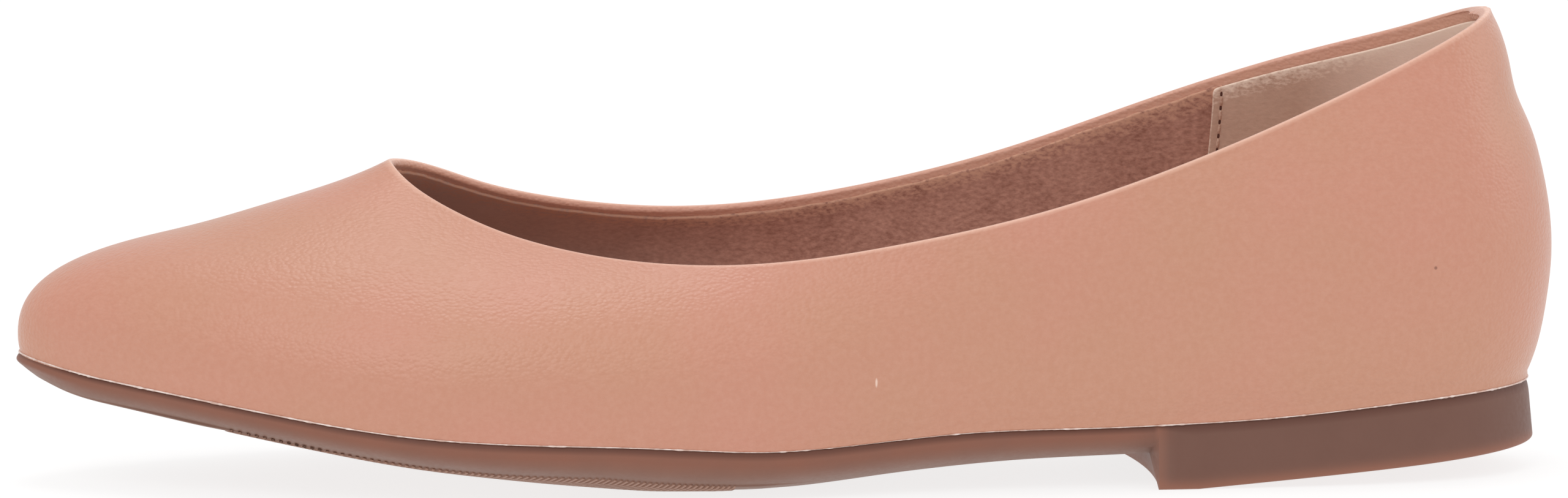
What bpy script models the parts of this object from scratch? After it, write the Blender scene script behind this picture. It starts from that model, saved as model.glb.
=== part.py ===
"""A pointed ballet flat for the left foot: a hollow lasted upper, a moulded unit sole with its heel,
and an insole.

The toe points along -X and the heel along +X. The outer (lateral) side of the foot is at -Y and the
inner (medial) side at +Y. The shoe stands on Z = 0, and the middle of its box is over the origin.

Every surface follows one set of ribs that run round the last: rib 0 is at the back of the heel, the
next ones go down the lateral side to the tip of the toe, and the rest come back along the medial side.
A place along the shoe is a share: 0 at the back of the heel and 1 at the tip of the toe.
"""

import math

import bpy
import numpy as np

# The last, in metres
LAST_LENGTH = 0.2474
BALL_WIDTH = 0.0760
BALL_EDGE_HEIGHT = 0.0084
HEEL_RISE = 0.0066
TOE_RISE = 0.0123

# The upper
VAMP_LENGTH = 0.0598
BACK_LEAN = 0.0064
BACK_HEIGHT = 0.0752
WALL = 0.0018
FOLD_CROWN = 0.0006
LASTING_MARGIN = 0.0090
FEATHER_BEVEL = 0.0008

# The sole
WAIST_RISE = 0.0048
TOE_GROUND_RISE = 0.0176
CROWN = 0.0020
FLANK = 0.0084
FLANK_POWER = 3.4
TREAD_STEP = 0.00035
HEEL_LENGTH = 0.0652
HEEL_FLAT = 0.0065
HEEL_BACK_RISE = 0.0047
HEEL_FLARE = 0.0009
HEEL_EDGE = 0.0006
BREAST_LEAN = 0.0008
BREAST_BOW = 0.0018

# The insole
INSOLE = 0.0026
INSOLE_CUP = 0.0008
INSOLE_EDGE = 0.0007
CLEARANCE = 0.0003

# The ribs
HALF_RIBS = 48
UPPER_ROWS = 13
RIB_LEAN = 0.75
TOE_SPINE = 0.0120
HEEL_SPINE = 0.0150
SPINE_EASE = 0.0220

# Places and shares along the last and across the sole, and the smallest step between two of them
BALL_AT = 0.516
FOREFOOT_FLAT = (0.505, 0.586)
BREAST_TOP = HEEL_LENGTH / LAST_LENGTH
BREAST_FOOT = (HEEL_LENGTH + BREAST_LEAN) / LAST_LENGTH
FLAT_SHARE = 0.30
TINY = 1e-9

# The angle in degrees above which an edge stays crisp
CRISP = 40

# The feather line, where the upper meets the sole, seen from above.
# Columns: place along the last, centre line towards the medial side and half width, both as shares
# of the ball width.
OUTLINE = np.array([
    (0.000, 0.000, 0.000),
    (0.027, 0.000, 0.203),
    (0.078, -0.002, 0.298),
    (0.155, -0.007, 0.333),
    (0.256, -0.024, 0.330),
    (0.357, -0.043, 0.333),
    (0.458, -0.056, 0.378),
    (0.559, -0.040, 0.454),
    (0.660, -0.005, 0.499),
    (0.733, 0.020, 0.500),
    (0.814, 0.039, 0.447),
    (0.887, 0.043, 0.345),
    (0.951, 0.039, 0.207),
    (0.989, 0.034, 0.093),
    (1.000, 0.033, 0.000),
])

# The same line seen from the side.
# Columns: place along the last, height above the ball's edge as a share of the heel rise behind the
# ball and of the toe rise before it.
FEATHER = np.array([
    (0.000, 1.000),
    (0.050, 0.900),
    (0.100, 0.755),
    (0.150, 0.580),
    (0.200, 0.437),
    (0.250, 0.355),
    (0.300, 0.305),
    (0.350, 0.298),
    (0.395, 0.260),
    (0.443, 0.142),
    (0.485, 0.035),
    (BALL_AT, 0.000),
    (0.564, 0.045),
    (0.612, 0.105),
    (0.660, 0.140),
    (0.706, 0.178),
    (0.753, 0.250),
    (0.800, 0.370),
    (0.846, 0.518),
    (0.893, 0.670),
    (0.939, 0.810),
    (1.000, 1.000),
])

# The collar, from the top of the back (0) to the front of the throat (1).
# Columns: place along the collar, centre line and half width as shares of the ball width, lateral
# and medial height as shares of the back height.
COLLAR = np.array([
    (0.000, 0.000, 0.000, 1.000, 1.000),
    (0.015, 0.000, 0.124, 0.984, 0.990),
    (0.068, -0.002, 0.228, 0.930, 0.938),
    (0.167, -0.005, 0.295, 0.825, 0.872),
    (0.300, -0.009, 0.338, 0.697, 0.770),
    (0.433, -0.009, 0.367, 0.596, 0.662),
    (0.555, -0.007, 0.380, 0.535, 0.593),
    (0.666, -0.003, 0.374, 0.499, 0.554),
    (0.766, 0.003, 0.339, 0.496, 0.553),
    (0.844, 0.006, 0.289, 0.519, 0.578),
    (0.905, 0.009, 0.228, 0.556, 0.615),
    (0.949, 0.011, 0.168, 0.600, 0.655),
    (0.980, 0.011, 0.108, 0.643, 0.679),
    (1.000, 0.011, 0.000, 0.688, 0.688),
])

# How each rib bends between the feather line and the collar.
# Columns: place along the last, outward pull of the lower handle on the lateral and on the medial
# side, its rise, outward pull of the upper handle and its drop, all as shares of the rib's own chord.
RIBS = np.array([
    (0.00, 0.158, 0.158, 0.343, 0.092, 0.260),
    (0.06, 0.142, 0.142, 0.340, 0.088, 0.270),
    (0.15, 0.130, 0.130, 0.340, 0.080, 0.280),
    (0.25, 0.130, 0.150, 0.340, 0.080, 0.290),
    (0.35, 0.130, 0.160, 0.340, 0.080, 0.300),
    (0.46, 0.120, 0.160, 0.350, 0.110, 0.300),
    (0.56, 0.100, 0.140, 0.370, 0.200, 0.270),
    (0.66, 0.080, 0.100, 0.370, 0.290, 0.190),
    (0.76, 0.070, 0.080, 0.340, 0.320, 0.160),
    (0.84, 0.070, 0.070, 0.312, 0.330, 0.160),
    (0.92, 0.070, 0.070, 0.302, 0.325, 0.168),
    (1.00, 0.074, 0.074, 0.296, 0.324, 0.172),
])

# The ground side of the sole along its middle.
# Columns: place along the last, height as a share of the waist rise behind the forefoot's flat spot
# and of the toe's rise before it.
WAIST = np.array([
    (0.200, 1.020),
    (0.255, 1.000),
    (0.300, 0.910),
    (0.350, 0.780),
    (0.400, 0.560),
    (0.443, 0.310),
    (0.475, 0.100),
    (FOREFOOT_FLAT[0], 0.000),
])
FOREPART = np.array([
    (FOREFOOT_FLAT[1], 0.000),
    (0.620, 0.022),
    (0.660, 0.068),
    (0.706, 0.145),
    (0.753, 0.240),
    (0.800, 0.365),
    (0.846, 0.500),
    (0.893, 0.640),
    (0.939, 0.768),
    (0.972, 0.880),
    (1.000, 1.000),
])

# The rounded lower edge of the sole.
# Columns: place along the last, crown across the sole, width of the rounded flank and the step of
# the tread panel, as shares of their named sizes.
FLANKS = np.array([
    (0.00, 0.30, 0.45, 0.0),
    (0.25, 0.35, 0.45, 0.0),
    (0.35, 0.50, 0.60, 0.0),
    (0.45, 0.80, 0.85, 0.0),
    (0.52, 1.00, 1.00, 1.0),
    (0.62, 1.00, 1.00, 1.0),
    (0.72, 0.90, 0.90, 1.0),
    (0.82, 0.65, 0.70, 1.0),
    (0.90, 0.40, 0.50, 0.8),
    (1.00, 0.10, 0.30, 0.0),
])

# The side of the sole from its rim (1) down to where the ground side begins (0); the tread panel
# starts at the second value of the repeated pair.
WALL_HEIGHTS = np.array([1.0, 0.80, 0.62, 0.46, 0.33, 0.31, 0.16, 0.06, 0.0])
TREAD_ROW = 5

# Where the ground side of the sole and the top of the insole have a point, from the middle (0) out.
GROUND_SHARES = (0.82, 0.64, 0.46, FLAT_SHARE)
INSOLE_SHARES = (0.4, 0.75)


def cubic(knots, values, at, level_ends):
    """The smooth cubic through the rows of a table.

    It leaves both ends level where level_ends is set, and unbent otherwise.
    """
    step = np.diff(knots)
    slope = np.diff(values) / step
    count = len(knots)
    matrix = np.eye(count)
    right = np.zeros(count)
    for row in range(1, count - 1):
        matrix[row, row - 1] = step[row - 1]
        matrix[row, row] = 2 * (step[row - 1] + step[row])
        matrix[row, row + 1] = step[row]
        right[row] = 6 * (slope[row] - slope[row - 1])
    if level_ends:
        matrix[0, :2] = 2 * step[0], step[0]
        matrix[-1, -2:] = step[-1], 2 * step[-1]
        right[0] = 6 * slope[0]
        right[-1] = -6 * slope[-1]
    bend = np.linalg.solve(matrix, right)
    left = np.clip(np.searchsorted(knots, at) - 1, 0, count - 2)
    width = step[left]
    here = (at - knots[left]) / width
    back = 1 - here
    curved = (back**3 - back) * bend[left] + (here**3 - here) * bend[left + 1]
    return back * values[left] + here * values[left + 1] + curved * width**2 / 6


def turn(share):
    """A share along an oval as the angle round it, which makes the ends of a table come out round."""
    return np.arccos(np.clip(1 - 2 * share, -1, 1))


def oval(table, column, share, level_ends):
    """One column of a table of an oval line, at these shares along it."""
    return cubic(turn(table[:, 0]), table[:, column], turn(share), level_ends)


def smoothstep(low, high, at):
    """0 up to low, 1 from high, and a soft step between."""
    part = np.clip((at - low) / (high - low), 0, 1)
    return part * part * (3 - 2 * part)


def place_x(share):
    """The X of a place along the last, with the heel's feather line at LAST_LENGTH / 2."""
    return LAST_LENGTH * (0.5 - share)


def share_at(x):
    """The place along the last of an X."""
    return 0.5 - x / LAST_LENGTH


def rib_shares():
    """The places of the ribs of one side, from the heel to the toe.

    They are evenly spread round the oval, and the nearest ones are moved to the two sides of the
    heel's breast and to the ends of the flat spots.
    """
    shares = (1 - np.cos(np.linspace(0, math.pi, HALF_RIBS + 1))) / 2
    heel_flat_end = BREAST_TOP - HEEL_FLAT / LAST_LENGTH
    fixed = (heel_flat_end, BREAST_TOP, BREAST_FOOT, *FOREFOOT_FLAT)
    taken = np.zeros(len(shares), bool)
    taken[[0, -1]] = True
    for share in fixed:
        free = np.where(taken, np.inf, abs(shares - share))
        nearest = int(np.argmin(free))
        shares[nearest] = share
        taken[nearest] = True
    return np.sort(shares)


# Rib by rib all round: lateral from heel to toe, then medial from toe to heel.
SIDE = rib_shares()
ALONG = np.concatenate([SIDE, SIDE[-2:0:-1]])
LATERAL = np.arange(len(ALONG)) <= HALF_RIBS
SIGN = np.where(LATERAL, -1.0, 1.0)
RIB_COUNT = len(ALONG)


def feather_height(share):
    """Height of the feather line at a place along the last."""
    rise = np.where(share < BALL_AT, HEEL_RISE, TOE_RISE)
    return BALL_EDGE_HEIGHT + rise * cubic(FEATHER[:, 0], FEATHER[:, 1], share, False)


def seat_height(x):
    """Height of the sole's upper side at any X, also a little past the ends of the last."""
    return feather_height(share_at(x))


def feather_line():
    """The feather line, one point for each rib."""
    centre = BALL_WIDTH * oval(OUTLINE, 1, ALONG, True)
    half = BALL_WIDTH * oval(OUTLINE, 2, ALONG, False)
    x = place_x(ALONG)
    return np.stack([x, centre + SIGN * half, seat_height(x)], axis=1)


def spine_line():
    """The middle of the shoe for each rib, pulled in from the heel and the toe."""
    x = place_x(ALONG)
    back = place_x(0.0)
    front = place_x(1.0)
    from_heel = back - x
    from_toe = x - front
    x = x - HEEL_SPINE * (1 - smoothstep(0, HEEL_SPINE + SPINE_EASE, from_heel))
    x = x + TOE_SPINE * (1 - smoothstep(0, TOE_SPINE + SPINE_EASE, from_toe))
    y = BALL_WIDTH * oval(OUTLINE, 1, ALONG, True)
    return np.stack([x, y, seat_height(x)], axis=1)


def collar_line():
    """The top edge of the upper, one point for each rib."""
    share = ALONG + RIB_LEAN * ALONG**2 * (1 - ALONG)
    length = LAST_LENGTH - VAMP_LENGTH - BACK_LEAN
    centre = BALL_WIDTH * oval(COLLAR, 1, share, True)
    half = BALL_WIDTH * oval(COLLAR, 2, share, False)
    lateral = oval(COLLAR, 3, share, True)
    medial = oval(COLLAR, 4, share, True)
    x = place_x(0.0) - BACK_LEAN - length * share
    z = BACK_HEIGHT * np.where(LATERAL, lateral, medial)
    return np.stack([x, centre + SIGN * half, z], axis=1)


def outward(line):
    """The level direction out of a closed line at each of its points."""
    along = np.roll(line, -1, axis=0) - np.roll(line, 1, axis=0)
    out = np.stack([-along[:, 1], along[:, 0], np.zeros(len(line))], axis=1)
    return out / np.linalg.norm(out, axis=1, keepdims=True)


def inset(line, distance):
    """A closed line moved towards the shoe's middle by a distance, lying on the sole's upper side."""
    way = SPINE - line
    way[:, 2] = 0
    moved = line + distance * way / np.linalg.norm(way, axis=1, keepdims=True)
    moved[:, 2] = seat_height(moved[:, 0])
    return moved


def raised(line, height):
    """The line moved up."""
    return line + np.array([0, 0, height])


FOOT = feather_line()
SPINE = spine_line()
TOP = collar_line()


def outer_skin():
    """The outside of the upper: a cubic curve for each rib, from the feather line to the collar."""
    start = raised(FOOT, FEATHER_BEVEL)
    chord = np.linalg.norm(TOP - start, axis=1)[:, None]
    belly = np.where(LATERAL, RIBS_AT[0], RIBS_AT[1])[:, None]
    rise, crown, drop = (column[:, None] for column in RIBS_AT[2:])
    up = np.array([0, 0, 1.0])
    low = start + chord * (belly * outward(FOOT) + rise * up)
    high = TOP + chord * (crown * outward(TOP) - drop * up)
    at = np.linspace(0, 1, UPPER_ROWS + 1)[None, :, None]
    start, low, high, end = (points[:, None] for points in (start, low, high, TOP))
    first = (1 - at) ** 3 * start + 3 * (1 - at) ** 2 * at * low
    return first + 3 * (1 - at) * at**2 * high + at**3 * end


def normals(grid):
    """The direction out of a grid of ribs, at each of its points."""
    round_it = np.roll(grid, -1, axis=0) - np.roll(grid, 1, axis=0)
    up_it = np.gradient(grid, axis=1)
    out = np.cross(up_it, round_it)
    return out / np.linalg.norm(out, axis=2, keepdims=True)


RIBS_AT = [cubic(RIBS[:, 0], RIBS[:, column], ALONG, True) for column in range(1, 6)]
OUTSIDE = outer_skin()
INSIDE = OUTSIDE - WALL * normals(OUTSIDE)


def inside_line(height):
    """The inside of the upper at this height above the seat, one point for each rib."""
    points = []
    for rib, seat in zip(INSIDE, FOOT[:, 2]):
        level = seat + height
        points.append([np.interp(level, rib[:, 2], rib[:, axis]) for axis in range(3)])
    return np.array(points)


def upper_rings():
    """The closed section of the upper at each rib: lasting margin, inside, folded edge, outside."""
    fold = (OUTSIDE[:, -1] + INSIDE[:, -1]) / 2
    corner = raised(inset(FOOT, WALL), WALL)
    margin = inset(FOOT, LASTING_MARGIN)
    rows = [OUTSIDE[:, row] for row in range(UPPER_ROWS + 1)]
    rows.append(raised(fold, FOLD_CROWN))
    rows.extend(INSIDE[:, row] for row in range(UPPER_ROWS, 0, -1))
    rows.extend([corner, raised(margin, WALL), margin, inset(FOOT, FEATHER_BEVEL)])
    return np.stack(rows[::-1], axis=1)


def ground_height(x):
    """Height of the sole's ground side along its middle, before the heel."""
    share = share_at(x)
    waist = cubic(WAIST[:, 0], WAIST[:, 1], np.minimum(share, FOREFOOT_FLAT[0]), True)
    forepart = cubic(FOREPART[:, 0], FOREPART[:, 1], np.maximum(share, FOREFOOT_FLAT[1]), True)
    on_flat = (share > FOREFOOT_FLAT[0] - TINY) & (share < FOREFOOT_FLAT[1] + TINY)
    rise = np.where(share < FOREFOOT_FLAT[0], WAIST_RISE * waist, TOE_GROUND_RISE * forepart)
    return np.where(on_flat, 0.0, rise)


def heel_height(x):
    """Height of the heel's ground side: a flat spot behind the breast, then a slope up to the back."""
    flat_end = place_x(0.0) - HEEL_LENGTH + HEEL_FLAT
    slope = HEEL_BACK_RISE / (HEEL_LENGTH - HEEL_FLAT)
    return slope * np.maximum(0.0, x - flat_end)


def bowed(line, share):
    """The points next to the heel's breast moved back, most in the middle, so that it is hollow."""
    near = np.isclose(ALONG, BREAST_TOP) | np.isclose(ALONG, BREAST_FOOT)
    moved = line.copy()
    moved[:, 0] += BREAST_BOW * (1 - share**2) * near
    return moved


def sole_rings():
    """The section of the sole at each rib: middle of the seat, rim, side, ground side, middle."""
    crown, flank, step = (
        size * cubic(FLANKS[:, 0], FLANKS[:, column], ALONG, True)
        for size, column in ((CROWN, 1), (FLANK, 2), (TREAD_STEP, 3))
    )
    step = np.clip(step, 0, TREAD_STEP)
    out = outward(FOOT)
    rim = raised(FOOT, -CLEARANCE)
    heel_rib = ALONG < BREAST_TOP + TINY
    middle = SPINE.copy()
    middle[:, 2] = np.where(heel_rib, heel_height(SPINE[:, 0]), ground_height(SPINE[:, 0]))
    rows = [raised(SPINE, -CLEARANCE)]
    for number, height in enumerate(WALL_HEIGHTS):
        pulled = flank * (1 - height) ** FLANK_POWER
        proud = step * (number >= TREAD_ROW)
        sole = rim + (proud - pulled)[:, None] * out
        low = ground_height(sole[:, 0]) + crown
        sole[:, 2] = low + height * (rim[:, 2] - low) - proud
        edge = HEEL_FLARE * (1 - height) - HEEL_EDGE * (height == 0)
        heel = rim + edge * out
        bottom = heel_height(heel[:, 0])
        lifted = bottom + HEEL_EDGE * (height > 0)
        heel[:, 2] = np.where(height > 0, lifted + height * (rim[:, 2] - lifted), bottom)
        rows.append(np.where(heel_rib[:, None], heel, sole))
    edge = rows[-1]
    for share in GROUND_SHARES:
        ground = middle + share * (edge - middle)
        dished = np.maximum(0.0, (share - FLAT_SHARE) / (1 - FLAT_SHARE)) ** 2
        heel_z = heel_height(ground[:, 0])
        sole_z = ground_height(ground[:, 0]) + crown * dished - step * (share > FLAT_SHARE)
        ground[:, 2] = np.where(heel_rib, heel_z, np.maximum(sole_z, 0.0))
        rows.append(bowed(ground, share))
    rows.append(bowed(middle, 0.0))
    return np.stack(rows, axis=1)


def insole_rings():
    """The section of the insole at each rib: cupped top, edge, step over the lasting margin, board."""
    under = WALL + CLEARANCE
    top = under + INSOLE
    foot = inset(FOOT, WALL + 2 * CLEARANCE)
    edge = inset(inside_line(top - INSOLE_EDGE), 2 * CLEARANCE)
    shoulder = inset(edge, INSOLE_EDGE)
    board = inset(FOOT, LASTING_MARGIN + CLEARANCE)
    rows = [raised(SPINE, top - INSOLE_CUP)]
    for share in INSOLE_SHARES:
        between = SPINE + share * (shoulder - SPINE)
        between[:, 2] = seat_height(between[:, 0])
        rows.append(raised(between, top - INSOLE_CUP * (1 - share**2)))
    rows.append(raised(shoulder, top))
    rows.append(raised(edge, top - INSOLE_EDGE))
    rows.append(raised(foot, under))
    rows.append(raised(board, under))
    rows.append(raised(board, CLEARANCE))
    rows.append(raised(SPINE, CLEARANCE))
    return np.stack(rows, axis=1)


def ring_numbers(row_count, sewn):
    """A number for each point of the rings. On a sewn solid both sides share the middle's points."""
    numbers = np.arange(RIB_COUNT * row_count).reshape(RIB_COUNT, row_count)
    if sewn:
        other = (-np.arange(RIB_COUNT)) % RIB_COUNT
        first = np.minimum(np.arange(RIB_COUNT), other)
        numbers[:, 0] = numbers[first, 0]
        numbers[:, -1] = numbers[first, -1]
    return numbers


def solid(name, rings, material, sewn):
    """One closed mesh from the rings: each section closes on itself, or is sewn along the middle."""
    numbers = ring_numbers(rings.shape[1], sewn)
    if not sewn:
        numbers = np.concatenate([numbers, numbers[:, :1]], axis=1)
    ahead = np.roll(numbers, -1, axis=0)
    corners = (numbers[:, :-1], ahead[:, :-1], ahead[:, 1:], numbers[:, 1:])
    faces = np.stack(corners, axis=2).reshape(-1, 4)
    used, faces = np.unique(faces, return_inverse=True)
    points = rings.reshape(-1, 3)[used]
    mesh = bpy.data.meshes.new(name)
    mesh.from_pydata(points.tolist(), [], faces.reshape(-1, 4).tolist())
    mesh.validate()
    mesh.shade_smooth()
    mesh.set_sharp_from_angle(angle=math.radians(CRISP))
    mesh.materials.append(material)
    made = bpy.data.objects.new(name, mesh)
    bpy.context.scene.collection.objects.link(made)
    return made


def finish(name, colour, roughness):
    """A plain material."""
    material = bpy.data.materials.new(name)
    material.use_nodes = True
    shader = material.node_tree.nodes["Principled BSDF"]
    shader.inputs["Base Color"].default_value = (*colour, 1.0)
    shader.inputs["Roughness"].default_value = roughness
    shader.inputs["Metallic"].default_value = 0.0
    return material


def stand(pieces):
    """Moves the meshes so that the shoe stands on Z = 0 with the middle of its box over the origin."""
    points = np.array([corner.co for piece in pieces for corner in piece.data.vertices])
    low = points.min(axis=0)
    high = points.max(axis=0)
    shift = np.array([-(low[0] + high[0]) / 2, -(low[1] + high[1]) / 2, -low[2]])
    for piece in pieces:
        for corner in piece.data.vertices:
            corner.co = np.array(corner.co) + shift
        piece.data.update()


def main():
    """Clears the scene and builds the shoe."""
    for old in list(bpy.data.objects):
        bpy.data.objects.remove(old, do_unlink=True)
    leather = finish("nude_leather", (0.58, 0.30, 0.22), 0.45)
    rubber = finish("gum_rubber", (0.24, 0.12, 0.085), 0.5)
    sock = finish("brown_microsuede", (0.20, 0.095, 0.07), 0.9)
    stand([
        solid("upper", upper_rings(), leather, False),
        solid("outsole", sole_rings(), rubber, True),
        solid("insole", insole_rings(), sock, True),
    ])


main()
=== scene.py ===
# %% [markdown]
# # A pointed ballet flat, dressed piece by piece
# This lesson dresses the left shoe of a pair of pointed flats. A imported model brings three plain
# solids: the upper, the sole and the insole. Each is replaced here by a finer surface of the same
# form, with the folded leather edge, the lining, the heel grip and the ribbed tread that it needs.
# The solids could also be subdivided, but their triangles follow no line of the shoe. Working the
# surfaces out afresh keeps every row of points on a rib of the last, where a seam or fold runs.

import bpy
import numpy as np
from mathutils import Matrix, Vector


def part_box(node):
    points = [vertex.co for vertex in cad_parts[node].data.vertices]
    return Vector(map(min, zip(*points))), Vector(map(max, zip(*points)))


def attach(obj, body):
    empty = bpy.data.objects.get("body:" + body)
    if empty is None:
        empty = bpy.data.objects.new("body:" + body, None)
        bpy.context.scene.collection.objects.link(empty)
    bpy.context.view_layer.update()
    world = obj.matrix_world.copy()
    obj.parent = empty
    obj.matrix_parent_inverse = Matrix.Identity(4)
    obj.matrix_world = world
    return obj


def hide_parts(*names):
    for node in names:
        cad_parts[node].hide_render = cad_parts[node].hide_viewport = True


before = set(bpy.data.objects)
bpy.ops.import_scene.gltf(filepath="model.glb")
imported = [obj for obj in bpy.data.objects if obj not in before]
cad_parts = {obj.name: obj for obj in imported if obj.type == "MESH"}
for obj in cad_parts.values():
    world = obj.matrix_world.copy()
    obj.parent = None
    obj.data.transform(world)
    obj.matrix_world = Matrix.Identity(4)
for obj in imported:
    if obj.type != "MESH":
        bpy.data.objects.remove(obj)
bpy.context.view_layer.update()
MM = 0.001

# %% [markdown]
# ## The last
# A shoe is made round a last, the wooden or plastic form of a foot. Its sizes drive everything: the
# length, the width at the ball, how high the heel sits and how the toe springs up. They are the
# sizes of the solids, so that each finer surface lies where the plain one does.

# %% Sizes of the last, the upper and the sole, in metres
LAST_LENGTH = 0.2474
BALL_WIDTH = 0.0760
BALL_EDGE_HEIGHT = 0.0084
HEEL_RISE = 0.0066
TOE_RISE = 0.0123
VAMP_LENGTH = 0.0598
BACK_LEAN = 0.0064
BACK_HEIGHT = 0.0752
WALL = 0.0018
FEATHER_BEVEL = 0.0008
LASTING_MARGIN = 0.0090
RIB_LEAN = 0.75
TOE_SPINE = 0.0120
HEEL_SPINE = 0.0150
SPINE_EASE = 0.0220
BALL_SHARE = 0.516
print("last:", LAST_LENGTH / MM, "mm long,", BALL_WIDTH / MM, "mm wide at the ball")

# %% [markdown]
# ## Tables of the lines
# A pattern maker works from a few sections of the last. Here they are short tables: the feather line
# where upper meets sole, the collar, and how each rib bends between the two. The places run from the
# back of the heel (0) to the tip of the toe (1), and the widths are shares of the ball's width.

# %% The feather line from above and from the side
# Columns: place, centre line towards the medial side, half width.
OUTLINE = np.array([
    (0.000, 0.000, 0.000), (0.027, 0.000, 0.203), (0.078, -0.002, 0.298), (0.155, -0.007, 0.333),
    (0.256, -0.024, 0.330), (0.357, -0.043, 0.333), (0.458, -0.056, 0.378), (0.559, -0.040, 0.454),
    (0.660, -0.005, 0.499), (0.733, 0.020, 0.500), (0.814, 0.039, 0.447), (0.887, 0.043, 0.345),
    (0.951, 0.039, 0.207), (0.989, 0.034, 0.093), (1.000, 0.033, 0.000),
])
# Columns: place, height as a share of the heel rise behind the ball and of the toe rise before it.
FEATHER = np.array([
    (0.000, 1.000), (0.050, 0.900), (0.100, 0.755), (0.150, 0.580), (0.200, 0.437), (0.250, 0.355),
    (0.300, 0.305), (0.350, 0.298), (0.395, 0.260), (0.443, 0.142), (0.485, 0.035),
    (BALL_SHARE, 0.000), (0.564, 0.045), (0.612, 0.105), (0.660, 0.140), (0.706, 0.178),
    (0.753, 0.250), (0.800, 0.370), (0.846, 0.518), (0.893, 0.670), (0.939, 0.810), (1.000, 1.000),
])

# %% The collar, and the bend of the ribs
# Columns: place, centre line, half width, lateral and medial height as shares of the back height.
COLLAR = np.array([
    (0.000, 0.000, 0.000, 1.002, 1.002), (0.015, 0.000, 0.124, 0.986, 0.986),
    (0.068, -0.002, 0.228, 0.930, 0.938), (0.167, -0.005, 0.295, 0.825, 0.872),
    (0.300, -0.009, 0.338, 0.697, 0.769), (0.433, -0.009, 0.367, 0.596, 0.659),
    (0.555, -0.007, 0.380, 0.535, 0.588), (0.666, -0.003, 0.374, 0.499, 0.551),
    (0.766, 0.003, 0.339, 0.496, 0.552), (0.844, 0.006, 0.289, 0.519, 0.578),
    (0.905, 0.009, 0.228, 0.556, 0.615), (0.949, 0.011, 0.168, 0.600, 0.655),
    (0.980, 0.011, 0.108, 0.643, 0.679), (1.000, 0.011, 0.000, 0.689, 0.689),
])
# Columns: place, outward pull of the lower handle on the lateral and on the medial side, its rise,
# outward pull of the upper handle and its drop, as shares of the rib's chord.
RIBS = np.array([
    (0.00, 0.158, 0.158, 0.343, 0.092, 0.260), (0.06, 0.142, 0.142, 0.340, 0.088, 0.270),
    (0.15, 0.130, 0.130, 0.340, 0.080, 0.280), (0.25, 0.130, 0.150, 0.340, 0.080, 0.290),
    (0.35, 0.130, 0.160, 0.340, 0.080, 0.300), (0.46, 0.120, 0.160, 0.350, 0.110, 0.300),
    (0.56, 0.100, 0.140, 0.370, 0.200, 0.270), (0.66, 0.080, 0.100, 0.370, 0.290, 0.190),
    (0.76, 0.070, 0.080, 0.340, 0.320, 0.160), (0.84, 0.070, 0.070, 0.312, 0.330, 0.160),
    (0.92, 0.070, 0.070, 0.302, 0.325, 0.168), (1.00, 0.074, 0.074, 0.296, 0.324, 0.172),
])
print("tables:", len(OUTLINE), "outline,", len(COLLAR), "collar and", len(RIBS), "rib rows")

# %% [markdown]
# ## Smooth lines through the tables
# A few rows become a fair curve when a cubic runs through them, as a thin batten does round pins.
# The way round the shoe is an angle: 0 at the back of the heel, then down the lateral side to the
# toe at half a turn, and back along the medial side. The cosine of the angle gives the place along
# the last, which makes both ends of every oval come out round.


# %% A cubic through the rows of a table
def cubic(knots, values, at, level_ends):
    """Natural cubic spline: one bend per row is solved from the slopes on both sides of it, and each
    stretch blends its two rows and their bends. level_ends leaves both ends level."""
    step = np.diff(knots)
    slope = np.diff(values) / step
    count = len(knots)
    matrix = np.eye(count)
    right = np.zeros(count)
    for row in range(1, count - 1):
        matrix[row, row - 1:row + 2] = step[row - 1], 2 * (step[row - 1] + step[row]), step[row]
        right[row] = 6 * (slope[row] - slope[row - 1])
    if level_ends:
        matrix[0, :2] = 2 * step[0], step[0]
        matrix[-1, -2:] = step[-1], 2 * step[-1]
        right[0] = 6 * slope[0]
        right[-1] = -6 * slope[-1]
    bend = np.linalg.solve(matrix, right)
    left = np.clip(np.searchsorted(knots, at) - 1, 0, count - 2)
    width = step[left]
    here = (at - knots[left]) / width
    back = 1 - here
    curved = (back**3 - back) * bend[left] + (here**3 - here) * bend[left + 1]
    return back * values[left] + here * values[left + 1] + curved * width**2 / 6


def smoothstep(low, high, at):
    """0 up to low, 1 from high, and the cubic 3p^2 - 2p^3 between."""
    part = np.clip((at - low) / (high - low), 0, 1)
    return part * part * (3 - 2 * part)


print("a quarter of the way, smoothstep gives", round(float(smoothstep(0, 1, 0.25)), 3))


# %% The turn round the shoe as a place, an angle and a side
def share_of(turn):
    """Place along the last: half of one minus the cosine of the turn."""
    return (1 - np.cos(turn)) / 2


def turn_at(share):
    """The turn on the lateral side at a place: the arc cosine of one minus twice the place."""
    return np.arccos(np.clip(1 - 2 * np.asarray(share, float), -1, 1))


def side_of(turn):
    """-1 on the lateral side and 1 on the medial side."""
    return np.where(np.sin(turn) >= 0, -1.0, 1.0)


def oval(table, column, share, level_ends):
    """One column of a table as a cubic over the angle, so that the ends come out round."""
    return cubic(turn_at(table[:, 0]), table[:, column], turn_at(share), level_ends)


print("the ball is", round(float(np.degrees(turn_at(BALL_SHARE)))), "degrees round from the heel")


# %% Heights of the seat
def place_x(share):
    """X of a place: the last's length times half minus the place."""
    return LAST_LENGTH * (0.5 - share)


def share_at(x):
    """The place of an X, which turns place_x round."""
    return 0.5 - x / LAST_LENGTH


def seat_height(x):
    """Height of the sole's upper side: the ball's edge plus the table's share of a rise."""
    share = share_at(x)
    rise = np.where(share < BALL_SHARE, HEEL_RISE, TOE_RISE)
    return BALL_EDGE_HEIGHT + rise * cubic(FEATHER[:, 0], FEATHER[:, 1], share, False)


print("the seat is", round(float(seat_height(place_x(1.0))) / MM, 1), "mm high at the toe")


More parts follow.
